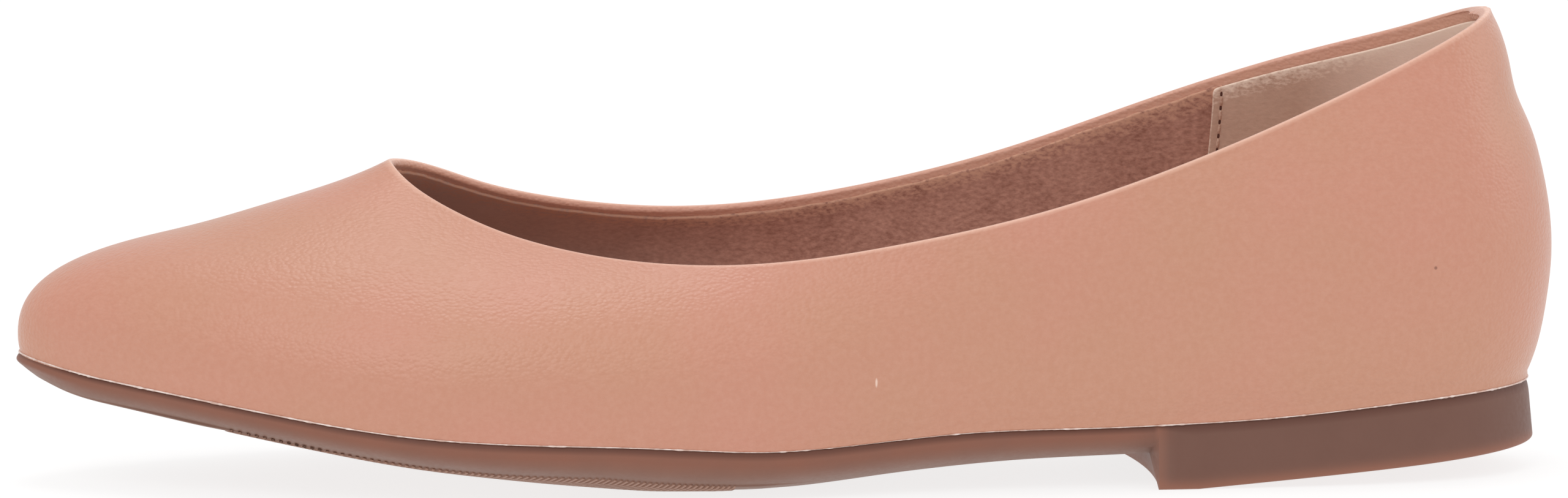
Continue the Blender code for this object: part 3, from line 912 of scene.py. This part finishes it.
# Columns: waves round the shoe, share of EDGE_WAVE, start.
EDGE_WAVES = ((23, 1.0, 0.0), (61, 0.7, 1.0), (137, 0.5, 2.0))
UNDER_GRIP = 0.0020
UNDER_GRIP_EASE = (0.012, 0.006)
GRIP_SHARE = 0.2084
SUEDE = 0.00065
LINING_PROUD = 0.0001
LINING_END = 0.0025
LINING_ROWS = 32
EDGE_ROWS = 6


# %% The rings of the lining
def cut_edge(turn):
    """Depth of the cut edge below the collar: a constant with three small waves round the shoe. It
    drops behind the heel grip, which covers it there."""
    wave = sum(part * np.sin(count * turn + start) for count, part, start in EDGE_WAVES)
    low, high = (GRIP_SHARE - ease for ease in UNDER_GRIP_EASE)
    under_grip = 1 - smoothstep(low, high, share_of(turn))
    return EDGE_DOWN + EDGE_WAVE * wave + UNDER_GRIP * under_grip


def layer_rings(turn, top, bottom, outer, thick, rows):
    """A shell inside the upper: its back at depth outer, its face thick further in, and a half
    round edge at the top. All depths are measured from the skin."""
    part = np.linspace(0, 1, rows)[None, :]
    half = (thick / 2 + 0 * turn)[..., None]
    down = top + thick / 2 + (bottom - top - thick / 2) * part
    rise = rise_down(turn + 0 * down, down)
    surface = skin(turn, rise)
    normal = skin_normal(turn, rise)
    face = surface - (outer + 2 * half) * normal
    back = surface - outer * normal
    angle = np.linspace(0, np.pi, EDGE_ROWS + 2)[None, 1:-1, None]
    up = unit(surface[:, :1] - surface[:, 1:2])
    middle = surface[:, :1] - (outer + half) * normal[:, :1]
    edge = middle + half * (np.cos(angle) * normal[:, :1] + np.sin(angle) * up)
    return np.concatenate([back[:, ::-1], edge, face], axis=1)[:, ::-1]


lining_bottom = rib_length(TURNS) - LINING_END
lining_rings = layer_rings(
    TURNS, cut_edge(TURNS), lining_bottom, WALL - SUEDE + LINING_PROUD, SUEDE, LINING_ROWS)
lining = loft("microsuede_lining", lining_rings, True)
print("lining:", len(lining.data.polygons), "faces")

# %% [markdown]
# ## The heel grip
# Round the back of the foot a patch of beige suede is laid over the lining, so that the heel does
# not slip. It ends in a straight cut on each side, with a row of stitches just behind the cut. The
# patch is the same kind of shell as the lining, over a short stretch of the turn.

# %% Sizes and ribs of the patch
GRIP_THICK = 0.00055
GRIP_CORNER = 0.0007
STITCH_IN = 0.0016
GRIP_TOP = 0.0011
GRIP_TOP_BACK = 0.0017
GRIP_TOP_EASE = 0.6
GRIP_END = 0.0035
GRIP_ROWS = 40
DIMPLE = 0.00018
DIMPLE_HALF_WIDTH = 0.0005
GRIP_TURN = float(turn_at(GRIP_SHARE))
# The first rings lie close behind each cut, at these turns from it, and the rest are even.
NEAR_CUT = np.array([0.0, 0.0015, 0.003, 0.006, 0.010])
EVEN_RIBS = 161
EVEN_TO = GRIP_TURN - 0.016
grip_turns = np.concatenate([
    NEAR_CUT - GRIP_TURN, np.linspace(-EVEN_TO, EVEN_TO, EVEN_RIBS), GRIP_TURN - NEAR_CUT[::-1],
])[:, None]
print("heel grip:", len(grip_turns), "ribs")


# %% The patch
def edge_distance(turn):
    """Distance from the patch's front edge, measured level along the foot."""
    return abs(place_x(share_of(turn)) - place_x(GRIP_SHARE))


def corner_drop(turn):
    """The front corners are rounded off by a quarter circle."""
    near = np.clip(1 - edge_distance(turn) / GRIP_CORNER, 0, 1)
    return GRIP_CORNER * (1 - np.sqrt(1 - near**2))


def grip_top(turn):
    """Depth of the patch's top edge: it sinks a little from its front corners to the back."""
    back_share = 1 - share_of(turn) / GRIP_SHARE
    return GRIP_TOP + (GRIP_TOP_BACK - GRIP_TOP) * smoothstep(0.0, GRIP_TOP_EASE, back_share)


def stitch_dimple(turn):
    """The stitches draw the suede down in a soft trough along their row."""
    return DIMPLE * np.exp(-((edge_distance(turn) - STITCH_IN) / DIMPLE_HALF_WIDTH)**2)


grip_rings = layer_rings(
    grip_turns, grip_top(grip_turns) + corner_drop(grip_turns), rib_length(grip_turns) - GRIP_END,
    WALL, GRIP_THICK - stitch_dimple(grip_turns), GRIP_ROWS)
grip = loft("heel_grip", grip_rings, False)
print("heel grip:", len(grip.data.polygons), "faces")

# %% [markdown]
# ## Stitches and needle holes
# The row of stitches shows as short threads of the patch's own colour, with a needle hole
# between one and the next, 2.5 mm apart. Threads are capsules laid along the rib, and holes are
# flattened beads, dark with the painted shadow of the hole, that are nearly sunk. Both have few
# faces, because they repeat.

# %% Sizes and shape of threads and holes
STITCH_PITCH = 0.0025
STITCH_ROW = (0.0013, 0.030)
THREAD = 0.00027
THREAD_LIFT = 0.00005
HOLE_LENGTH = 0.0008
HOLE_HALF_WIDTH = 0.00023
HOLE_HALF_HEIGHT = 0.00008
HOLE_LIFT = 0.00003
BEAD_END = 0.12


def bead_rings(centre, along, side, out, half_length, half_width, half_height, rows=9, points=8):
    """An egg for each centre: rings as wide as the root of sin(a), set at -cos(a) along its axis."""
    angle = np.linspace(BEAD_END, np.pi - BEAD_END, rows)[None, :, None, None]
    circle = np.linspace(0, 2 * np.pi, points, endpoint=False)[None, None, :, None]
    centre, along, side, out = (v[:, None, None, :] for v in (centre, along, side, out))
    middle = centre - half_length * np.cos(angle) * along
    across = half_width * np.cos(circle) * side + half_height * np.sin(circle) * out
    return middle + np.sqrt(np.sin(angle)) * across


# %% Threads and holes along both cuts
def stitch_frames(turn, down, depth):
    """Place and directions on the patch's face: along the rib, across it and out of the face."""
    rise = rise_down(turn, down)
    out = -skin_normal(turn, rise)
    spot = skin(turn, rise) + depth * out
    along = unit(skin(turn, rise + NUDGE) - skin(turn, rise - NUDGE))
    side = unit(np.cross(along, out))
    return (v.reshape(-1, 3) for v in (spot, along, side, out))


stitch_share = share_at(place_x(GRIP_SHARE) + STITCH_IN)
rows_down = np.arange(GRIP_TOP + STITCH_ROW[0], STITCH_ROW[1], STITCH_PITCH)
stitch_turns = np.array([turn_at(stitch_share), 2 * np.pi - turn_at(stitch_share)])[:, None]
stitch_turns = stitch_turns + 0 * rows_down[None, :]
hole_down = rows_down[None, :] + 0 * stitch_turns
thread_down = hole_down + STITCH_PITCH / 2
face_depth = WALL + GRIP_THICK - DIMPLE
threads = copies("grip_stitches", bead_rings(
    *stitch_frames(stitch_turns, thread_down, face_depth + THREAD_LIFT),
    (STITCH_PITCH - HOLE_LENGTH) / 2, THREAD, THREAD))
holes = copies("needle_holes", bead_rings(
    *stitch_frames(stitch_turns, hole_down, face_depth + HOLE_LIFT),
    HOLE_LENGTH / 2, HOLE_HALF_WIDTH, HOLE_HALF_HEIGHT))
print("stitches:", len(threads.data.polygons), "faces; holes:", len(holes.data.polygons))

# %% [markdown]
# ## The glue line
# Where the upper is cemented to the sole, a little pale glue shows along the feather line, thick in
# some places and hardly there in others. A thin tube with an uneven radius gives that. It is carried
# along the line itself, just above the rim.

# %% Sizes of the bead of glue, and where it is fuller
GLUE_RADIUS = 0.00009
GLUE_SPREAD = 0.00008
GLUE_LIFT = 0.00016
GLUE_AT_ENDS = 0.00005
GLUE_AT_WAIST = -0.00005
GLUE_ON_LIP = 0.75
GLUE_POINTS = 2400
GLUE_SIDES = 6
TOE_FULLER = (0.70, 0.90)
HEEL_FULLER = (0.02, 0.15)
THINNEST = 0.46
THIN_SPREAD = 0.09
FULL_SUM = 2.6
FULL_POWER = 1.5
# Columns: waves round the shoe, start.
GLUE_WAVES = ((37, 0.3), (83, 1.7), (191, 4.1), (409, 2.2))
print("glue:", round(2 * GLUE_RADIUS / MM, 2), "mm thick where it is plain")


# %% The bead of glue
def glue_radius(turn):
    """A thin bead, fuller where the sum of four sines of unrelated pace is high and at both ends,
    and thinner at the waist."""
    total = sum(np.sin(count * turn + start) for count, start in GLUE_WAVES)
    share = share_of(turn)
    ends = GLUE_AT_ENDS * (smoothstep(*TOE_FULLER, share) + 1 - smoothstep(*HEEL_FULLER, share))
    waist = GLUE_AT_WAIST * np.exp(-((share - THINNEST) / THIN_SPREAD)**2)
    uneven = GLUE_SPREAD * np.clip(total / FULL_SUM, 0, 1)**FULL_POWER
    return GLUE_RADIUS + ends + waist + uneven


def glue_rings(turn):
    """A small circle round the feather line, across the outward and the upward direction."""
    centre = raised(foot(turn), GLUE_LIFT - SEAM_DROP)
    centre[..., 2] += GLUE_ON_LIP * toe_lip(turn)
    circle = np.linspace(0, 2 * np.pi, GLUE_SIDES, endpoint=False)[None, :, None]
    radius = glue_radius(turn)[..., None]
    out = outward(foot, turn)
    up = np.array([0, 0, 1.0])
    return centre + radius * (np.cos(circle) * out + np.sin(circle) * up)


glue = loft("glue_line", glue_rings(even_turns(GLUE_POINTS)[:, None]), True, crisp=80)
print("glue:", len(glue.data.polygons), "faces")

# %% [markdown]
# ## The insole
# The sock lies on the board inside the shoe. It doesn't show from the side, so it is finished
# plainly: a cupped pad with a rounded edge that follows the inner wall of the upper. It is thin foam
# under cloth.

# %% Sizes of the insole, and the wall that it meets
INSOLE = 0.0026
INSOLE_CUP = 0.0008
CLEARANCE = 0.0003
SOCK_EDGE = 0.0009
WALL_STEPS = 40
SOCK_RIBS = 320
SOCK_ROWS = 16
SOCK_EDGE_ROWS = 5


def wall_line(turn, height):
    """Inner wall at a height above the seat: the rise is found where the skin has that height, in
    the lower half of each rib."""
    steps = np.linspace(0, 0.5, WALL_STEPS + 1)[None, :]
    level = skin(turn + 0 * steps, steps + 0 * turn)[..., 2] - foot(turn)[..., 2]
    left = np.clip((level <= height).sum(axis=1, keepdims=True) - 1, 0, WALL_STEPS - 1)
    low = np.take_along_axis(level, left, axis=1)
    high = np.take_along_axis(level, left + 1, axis=1)
    rise = (left + (height - low) / (high - low)) / (2 * WALL_STEPS)
    return skin(turn, rise) - WALL * skin_normal(turn, rise)


# %% The rings of the insole
def sock_rings(turn):
    """From the middle of the cupped top out to the rounded edge, then under to the board."""
    top = WALL + CLEARANCE + INSOLE
    edge = inset(wall_line(turn, top - SOCK_EDGE), turn, 2 * CLEARANCE)
    middle = spine(turn)
    shoulder = inset(edge, turn, SOCK_EDGE)
    share = np.linspace(0, 1, SOCK_ROWS)[None, :]
    flat = middle + share[..., None] * (shoulder - middle)
    flat[..., 2] = seat_height(flat[..., 0]) + top - INSOLE_CUP * (1 - share**2)
    angle = np.linspace(0, np.pi / 2, SOCK_EDGE_ROWS + 1)[None, 1:, None]
    level = raised(shoulder, top - SOCK_EDGE)
    out = edge - shoulder
    out[..., 2] = 0
    round_edge = level + np.sin(angle) * out + SOCK_EDGE * np.cos(angle) * np.array([0, 0, 1.0])
    foot_edge = raised(inset(foot(turn), turn, WALL + 2 * CLEARANCE), WALL + CLEARANCE)
    board = inset(foot(turn), turn, LASTING_MARGIN + CLEARANCE)
    under = [foot_edge, raised(board, WALL + CLEARANCE), raised(board, CLEARANCE),
             raised(middle, CLEARANCE)]
    return np.concatenate([flat, round_edge, *under], axis=1)


sock, _ = sewn_loft("insole_sock", sock_rings(even_turns(SOCK_RIBS)[:, None]))
print("sock:", len(sock.data.polygons), "faces")

# %% [markdown]
# ## Materials
# Every finish is worked out from noise and cells on the piece's own coordinates, so it stays put in
# every view. Colours are named in the 0 to 255 numbers that a designer would pick, and turned into
# the linear light that Blender mixes.


# %% Helpers for node trees
def colour(red, green, blue):
    """Linear colour of an 8-bit one: the sRGB curve, part by part."""
    part = np.array([red, green, blue]) / 255
    linear = np.where(part <= 0.04045, part / 12.92, ((part + 0.055) / 1.055)**2.4)
    return (*linear.tolist(), 1.0)


def add(tree, kind, sockets, **attributes):
    """A node with its attributes set, and each socket set to a value or linked to an output."""
    made = tree.nodes.new(kind)
    for name, value in attributes.items():
        setattr(made, name, value)
    for socket, value in sockets.items():
        if isinstance(value, bpy.types.NodeSocket):
            tree.links.new(value, made.inputs[socket])
        else:
            made.inputs[socket].default_value = value
    return made


def finish(name, roughness, **settings):
    """A material with its shader set, and its Object coordinates, ready for more nodes."""
    material = bpy.data.materials.new(name)
    material.use_nodes = True
    tree = material.node_tree
    shader = tree.nodes["Principled BSDF"]
    shader.inputs["Roughness"].default_value = roughness
    for socket, value in settings.items():
        shader.inputs[socket.replace("_", " ")].default_value = value
    where = tree.nodes.new("ShaderNodeTexCoord").outputs["Object"]
    return material, tree, shader, where


# %% Patterns on the coordinates
def noise(tree, where, size, detail=2.0, roughness=0.5):
    """Noise whose blobs are about this many metres wide."""
    sockets = {"Vector": where, "Scale": 1 / size, "Detail": detail, "Roughness": roughness}
    return add(tree, "ShaderNodeTexNoise", sockets).outputs[0]


def mapped(tree, where, **moves):
    """The coordinates moved, turned or scaled. A larger scale makes a pattern smaller that way."""
    return add(tree, "ShaderNodeMapping", {"Vector": where, **moves}).outputs[0]


def along_x(tree, where):
    """The place along the shoe: the X of the coordinates."""
    return add(tree, "ShaderNodeSeparateXYZ", {"Vector": where}).outputs["X"]


def kept(tree, name):
    """The number that each point keeps under a name."""
    return add(tree, "ShaderNodeAttribute", {}, attribute_name=name).outputs["Fac"]


# %% Blends and bumps
def mix(tree, factor, first, second):
    """A colour between two, by a factor."""
    made = add(tree, "ShaderNodeMix", {0: factor, 6: first, 7: second}, data_type="RGBA")
    return made.outputs[2]


def spread(tree, value, low, high, to_low=0.0, to_high=1.0):
    """A value moved from one range to another, and kept inside it."""
    sockets = {0: value, 1: low, 2: high, 3: to_low, 4: to_high}
    return add(tree, "ShaderNodeMapRange", sockets).outputs[0]


def bump(tree, height, distance, strength, under=None):
    """A bump from a height, on top of another one if there is one."""
    sockets = {"Height": height, "Distance": distance, "Strength": strength}
    if under is not None:
        sockets["Normal"] = under
    return add(tree, "ShaderNodeBump", sockets).outputs[0]


# %% Links to the shader, and numbers kept on the points
def dress(tree, shader, **outputs):
    """Links each output to the shader's socket of that name."""
    for socket, output in outputs.items():
        tree.links.new(output, shader.inputs[socket.replace("_", " ")])


def keep_attribute(piece, name, values):
    """Stores one number per point under a name that a material can read."""
    attribute = piece.data.attributes.new(name, "FLOAT", "POINT")
    attribute.data.foreach_set("value", values.astype(np.float32))


# %% [markdown]
# ## Leather
# The hide is a smooth nude pink with a very fine grain: low domes of about half a millimetre with
# shallow creases between them. The colour drifts a little between pink and tan over a few
# centimetres. A touch of sheen gives the pale bloom of soft leather where the light grazes it.

# %% Painted light on the folded edge, and two small marks
def painted_fold_light():
    """How much painted light the turned leather takes: a painted highlight, most on the outer part
    of the roll and least on its inner part, and painted light in between on the shaded strip inside.
    It is 0 elsewhere."""
    hidden = REST_ROWS + 3 + len(CURL)
    counts = (SKIN_ROWS, 1, 4, ROLL_ROWS - 4, STRIP_ROWS, hidden)
    tone = np.repeat((0.0, 0.4, 0.55, 0.15, 0.5, 0.0), counts)
    return np.tile(tone[::-1], RIB_COUNT)


def mark(tree, where, centre, reach):
    """1 in the middle of a small ball, or of a longer egg, and 0 outside it."""
    centre, reach = np.array(centre) * MM, np.array(reach) * MM
    moved = mapped(tree, where, Location=tuple(-centre / reach), Scale=tuple(1 / reach))
    ball = add(tree, "ShaderNodeTexGradient", {"Vector": moved}, gradient_type="SPHERICAL")
    return spread(tree, ball.outputs["Fac"], 0.0, 0.5, 0.0, 0.7)


keep_attribute(leather, "painted_fold_light", painted_fold_light())
# Columns: middle in millimetres, reach in millimetres, tone.
MARKS = (
    ((10.3, -35.2, 18.9), (0.24, 3.0, 0.9), colour(242, 214, 198)),
    ((102.1, -26.8, 35.3), (0.35, 2.0, 0.35), colour(120, 74, 60)),
)

# %% Nude leather
PINK = colour(200, 138, 116)
TAN = colour(196, 140, 114)
GRAIN_SIZE = 0.00062


def nude_leather():
    """Two tones by large noise, paler by fine noise in painted glints of the grain, paler on the
    fold by painted light, and the two marks. The grain is a bump of cells, whose middles stand up,
    with finer and wider noise on top."""
    material, tree, shader, where = finish(
        "nude_leather", 0.40, Specular_IOR_Level=0.50, Sheen_Weight=0.19, Sheen_Roughness=0.35,
        Sheen_Tint=(1.0, 0.92, 0.88, 1.0))
    patches = spread(tree, noise(tree, where, 0.035), 0.35, 0.65)
    fine = noise(tree, where, 0.0009, 3.0)
    tone = mix(tree, patches, PINK, TAN)
    # Painted glints: fine noise makes specks paler, for the sparkle of the grain in the light.
    paler = mix(tree, spread(tree, fine, 0.35, 0.75, 0.0, 0.10), tone, colour(232, 190, 172))
    # Painted highlight on the roll of the fold, and painted light on the shaded strip inside it.
    tone = mix(tree, kept(tree, "painted_fold_light"), paler, colour(240, 196, 174))
    for *centre_and_reach, mark_tone in MARKS:
        tone = mix(tree, mark(tree, where, *centre_and_reach), tone, mark_tone)
    longer = mapped(tree, where, Scale=(0.8, 1.0, 1.1))
    cells = add(tree, "ShaderNodeTexVoronoi", {"Vector": longer, "Scale": 1 / GRAIN_SIZE},
                feature="F1").outputs["Distance"]
    domes = spread(tree, cells, 0.0, 0.9, 1.0, 0.0)
    grain = bump(tree, domes, 0.00011, 0.75)
    grain = bump(tree, noise(tree, where, 0.0012, 3.0), 0.00008, 0.25, grain)
    grain = bump(tree, noise(tree, where, 0.012, 2.0), 0.0004, 0.25, grain)
    dress(tree, shader, Base_Color=tone, Normal=grain,
          Roughness=spread(tree, fine, 0.3, 0.7, 0.33, 0.44))
    return material


# %% [markdown]
# ## Microsuede
# A napped cloth has short fibres that lie in soft streaks. Fine noise stretched on a slant gives the
# streaks, larger noise the places where a hand has brushed them, and the sheen of the fibres shows
# along the edges.


# %% Attribute for the cut edges of lining and grip, pale partly in their own colour and partly by a painted highlight
def cut_tone(rings, rows, ends):
    """1 on the half round edge between face and back, and on the outermost rings where the piece
    has ends. It fades out over the next two points of the face."""
    tone = np.zeros((rings, 2 * rows + EDGE_ROWS))
    tone[:, rows - 3:rows - 1] = 0.66, 0.76
    tone[:, rows - 1:rows + EDGE_ROWS + 1] = 1
    if ends:
        tone[:2] = 1
        tone[-2:] = 1
    return tone.reshape(-1)


# %% Microsuede in two colours
def microsuede(name, dark, light, contrast, raw_and_lit_edge=None, painted_inner_light=None):
    """Streaky nap: two noises stretched along a slant, mixed between a dark and a light tone. A
    paler tone of painted light, for the light inside the shoe, comes in between two places along the
    shoe, up to an amount. The cut edge takes a pale tone, partly the cut's own colour and partly a
    painted highlight, broken up by the same streaks."""
    material, tree, shader, where = finish(
        name, 0.95, Specular_IOR_Level=0.12, Sheen_Weight=0.5, Sheen_Roughness=0.5,
        Sheen_Tint=light)
    slanted = mapped(tree, where, Rotation=(0.0, 0.7, 0.0), Scale=(0.6, 1.0, 1.1))
    streaks = noise(tree, slanted, 0.0006, 3.0, 0.60)
    brushed = noise(tree, where, 0.007, 3.0)
    blend = add(tree, "ShaderNodeMath", {0: streaks, 1: spread(tree, brushed, 0.0, 1.0, 0.25, 0.75)},
                operation="ADD").outputs[0]
    nap = spread(tree, blend, 1 - contrast, 1 + contrast)
    tone = mix(tree, nap, dark, light)
    # Painted light: paler between two places along the shoe, for the light inside it.
    if painted_inner_light:
        start, end, amount, painted_inner_tone = painted_inner_light
        share = spread(tree, along_x(tree, where), start, end, 0.0, amount)
        tone = mix(tree, share, tone, painted_inner_tone)
    # The pale cut edge: partly the cut's own colour, partly a painted highlight.
    if raw_and_lit_edge:
        broken = add(tree, "ShaderNodeMath", {0: kept(tree, "cut_edge"), 1: streaks, 2: -0.30},
                     operation="MULTIPLY_ADD").outputs[0]
        tone = mix(tree, spread(tree, broken, 0.0, 0.25), tone, raw_and_lit_edge)
    fuzz = bump(tree, noise(tree, slanted, 0.0005, 3.0, 0.7), 0.0001, 0.6)
    dress(tree, shader, Base_Color=tone, Normal=bump(tree, brushed, 0.0005, 0.3, fuzz))
    return material


# %% [markdown]
# ## Gum rubber
# The sole is brown gum rubber, satin and faintly mottled, and slightly see-through where it is thin.
# The heel is greyer, because it is thick. Along its lower and front edges a redder glow is painted,
# for light shining through the thin rubber, and a painted shadow darkens the side just under the
# rim. How near each point is to such an edge, and its height on the side, are kept as attributes for
# this.


# %% Attribute for the painted glow along the thin edges of the heel
LOW_GLOW = 0.0013
FRONT_GLOW = 0.0005


def edge_glow(turn):
    """1 at the lower edge of the heel and half at its front edge, falling off as bell curves over
    about a millimetre. It masks the painted glow of light through the thin rubber."""
    x, z = SOLE_RINGS[..., 0], SOLE_RINGS[..., 2]
    low = np.exp(-((z - heel_height(x)) / LOW_GLOW)**2)
    front = 0.5 * np.exp(-((place_x(BREAST_TOP) - x) / FRONT_GLOW)**2)
    return np.clip(low + front, 0, 1) * (share_of(turn) < BREAST_FOOT + TINY)


keep_attribute(sole, "painted_edge_glow", edge_glow(SOLE_TURNS).reshape(-1)[sole_points])


# %% Attributes for the side of the sole
def side_height():
    """Height share of each point of the sole: 1 at the rim, 0 at the lower edge and below it."""
    rows = np.zeros(SOLE_RINGS.shape[:2])
    rows[:, :2] = 1
    rows[:, 2:2 + len(HEIGHTS)] = HEIGHTS
    return rows


keep_attribute(sole, "side_height", side_height().reshape(-1)[sole_points])


# %% Brown gum rubber
def gum_rubber(name, painted_light_share):
    """Forepart and heel tones along X, mottled by noise, darker under the rim by a painted shadow,
    and redder where the edge is thin by a painted glow of light through it. With painted light, for
    light from the floor under the sole, the rubber is paler by a share."""
    material, tree, shader, where = finish(name, 0.5, Specular_IOR_Level=0.35)
    heel_front = place_x(BREAST_TOP) + FRAME_SHIFT[0]
    on_heel = spread(tree, along_x(tree, where), heel_front - 0.004, heel_front + 0.003)
    height = kept(tree, "side_height")
    fore = mix(tree, spread(tree, height, 0.40, 0.75), colour(136, 102, 88), colour(138, 89, 71))
    tone = mix(tree, on_heel, fore, colour(112, 77, 65))
    mottled = spread(tree, noise(tree, where, 0.006, 4.0), 0.3, 0.7, 0.0, 0.3)
    tone = mix(tree, mottled, tone, colour(121, 85, 72))
    # Painted shadow: darker just under the rim, where the upper's edge shades the side.
    tone = mix(tree, spread(tree, height, 0.84, 0.94, 0.0, 0.75), tone, colour(96, 58, 46))
    # Painted glow: redder along the heel's thin edges, for light shining through the rubber.
    thin = spread(tree, kept(tree, "painted_edge_glow"), 0.0, 1.0, 0.0, 0.8)
    tone = mix(tree, thin, tone, colour(152, 100, 80))
    # Painted light: paler by a share, for light from the floor under the sole.
    tone = mix(tree, painted_light_share, tone, colour(182, 140, 120))
    pores = noise(tree, where, 0.0008, 4.0, 0.6)
    dress(tree, shader, Base_Color=tone, Normal=bump(tree, pores, 0.00004, 0.5),
          Roughness=spread(tree, pores, 0.3, 0.7, 0.45, 0.58))
    return material


# %% Thread, needle holes and glue
def plain_noise(name, roughness, first, second, size, depth):
    """A small piece's finish: two tones by fine noise, with a bump of the same noise."""
    material, tree, shader, where = finish(name, roughness, Specular_IOR_Level=0.3)
    grain = noise(tree, where, size, 3.0)
    tone = mix(tree, spread(tree, grain, 0.35, 0.65), first, second)
    dress(tree, shader, Base_Color=tone, Normal=bump(tree, grain, depth, 0.6))
    return material


# %% Give each piece its finish and its body, and hide the solids that it stands for
keep_attribute(lining, "cut_edge", cut_tone(RIB_COUNT, LINING_ROWS, False))
keep_attribute(grip, "cut_edge", cut_tone(len(grip_turns), GRIP_ROWS, True))
# Columns: piece, material, slot of the record, solids that it stands for.
FINISHES = (
    (leather, nude_leather(), "leather", ("upper",)),
    # The lining is painted paler towards the toe, as light inside the shoe; its cut edge is paler,
    # partly its own colour and partly a painted highlight.
    (lining, microsuede("brown_microsuede", colour(144, 97, 83), colour(206, 157, 139), 0.32,
                        colour(206, 158, 134), (0.000, -0.050, 0.8, colour(198, 171, 159))),
     "microsuede", ("upper",)),
    # The grip is painted paler towards the back of the heel, as light inside the shoe; its cut edges
    # are paler, partly their own colour and partly a painted highlight.
    (grip, microsuede("beige_suede", colour(190, 155, 136), colour(214, 180, 160), 0.45,
                      colour(238, 214, 196), (0.088, 0.104, 0.8, colour(248, 224, 208))),
     "microsuede", ("upper",)),
    (threads, plain_noise("beige_thread", 0.7, colour(190, 150, 130), colour(214, 180, 160),
                          0.0004, 0.00005), "microsuede", ("upper",)),
    (holes, plain_noise("needle_hole_shadow", 0.9, colour(96, 57, 47), colour(80, 47, 39),
                        0.0004, 0.00002), "microsuede", ("upper",)),
    (glue, plain_noise("pale_glue", 0.4, colour(240, 222, 214), colour(206, 172, 158),
                       0.0015, 0.00003), "gum_rubber", ("outsole",)),
    (sole, gum_rubber("brown_gum_rubber", 0.0), "gum_rubber", ("outsole",)),
    # The tread's ribs are painted paler, as light from the floor under the sole.
    (tread, gum_rubber("painted_lit_gum_rubber", 0.5), "gum_rubber", ("outsole",)),
    (sock, microsuede("brown_sock", colour(150, 104, 90), colour(196, 146, 128), 0.35),
     "microsuede", ("insole",)),
)
for piece, material, slot, nodes in FINISHES:
    piece.data.materials.append(material)
    print(piece.name, "wears", material.name, "of", len(material.node_tree.nodes), "nodes")
    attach(piece, "root")
    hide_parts(*nodes)
print("pieces:", len(FINISHES))

# %% [markdown]
# ## Studio
# The shoe was photographed on white in soft light from all round, strongest from above and in front.
# A pale floor, a bright even sky and four soft lamps, in front, above, behind and at the heel, do
# the same. The camera stands well back with a long lens, 6 degrees above the shoe and 6 degrees
# towards the toe.


# %% A floor and a lamp
WHITE = (1.0, 1.0, 1.0, 1.0)
FLOOR_HALF = 6.0
FLOOR_GLOW = 0.79


def floor():
    """A pale square that carries the shoe. It glows a little, as lit paper does, so that it comes
    out nearly white."""
    half = FLOOR_HALF
    mesh = bpy.data.meshes.new("studio_floor")
    corners = [(-half, -half, 0), (half, -half, 0), (half, half, 0), (-half, half, 0)]
    mesh.from_pydata(corners, [], [(0, 1, 2, 3)])
    made = bpy.data.objects.new("studio_floor", mesh)
    bpy.context.scene.collection.objects.link(made)
    material, tree, shader, where = finish(
        "pale_paper", 0.9, Specular_IOR_Level=0.1, Emission_Color=WHITE,
        Emission_Strength=FLOOR_GLOW)
    shade = spread(tree, noise(tree, where, 0.4), 0.3, 0.7)
    tone = mix(tree, shade, (0.24, 0.24, 0.24, 1.0), (0.22, 0.22, 0.22, 1.0))
    dress(tree, shader, Base_Color=tone)
    mesh.materials.append(material)


def lamp(name, place_at, power, size):
    """A square soft lamp that looks at the shoe."""
    data = bpy.data.lights.new(name, "AREA")
    data.energy = power
    data.size = size
    made = bpy.data.objects.new(name, data)
    made.location = place_at
    towards = Vector((0, 0, 0.03)) - Vector(place_at)
    made.rotation_euler = towards.to_track_quat("-Z", "Y").to_euler()
    bpy.context.scene.collection.objects.link(made)


# %% Set the floor, the sky and the lamps
SKY_STRENGTH = 0.80
# Columns: name, place, power in watts, side.
LAMPS = (
    ("front_lamp", (-0.45, -1.0, 1.0), 3.3, 0.60), ("top_lamp", (-0.10, 0.10, 1.3), 2.9, 0.45),
    ("back_lamp", (0.6, 1.0, 0.7), 1.5, 0.90), ("heel_lamp", (1.2, 0.0, 0.5), 1.3, 0.50),
)
floor()
sky = bpy.data.worlds.new("studio_sky")
sky.use_nodes = True
background = sky.node_tree.nodes["Background"]
background.inputs["Color"].default_value = WHITE
background.inputs["Strength"].default_value = SKY_STRENGTH
bpy.context.scene.world = sky
for row in LAMPS:
    lamp(*row)
bpy.context.scene.view_settings.view_transform = "Standard"
print("sky and", len(LAMPS), "lamps are set")

# %% Camera
AZIMUTH = np.radians(-6.0)
ELEVATION = np.radians(6.2)
DISTANCE = 1.3
AIM = Vector((-0.0008, 0.0, 0.03665))
PIXELS_PER_METRE = 10000
IMAGE_WIDTH = 2560
back = Vector((
    np.sin(AZIMUTH) * np.cos(ELEVATION), -np.cos(AZIMUTH) * np.cos(ELEVATION), np.sin(ELEVATION),
))
lens = bpy.data.cameras.new("photo_camera")
lens.sensor_width = 36.0
lens.lens = PIXELS_PER_METRE * DISTANCE * lens.sensor_width / IMAGE_WIDTH
lens.clip_end = 50
camera = bpy.data.objects.new("photo_camera", lens)
camera.location = AIM + DISTANCE * back
camera.rotation_euler = back.to_track_quat("Z", "Y").to_euler()
bpy.context.scene.collection.objects.link(camera)
bpy.context.scene.camera = camera
print("lens:", round(lens.lens, 1), "mm")
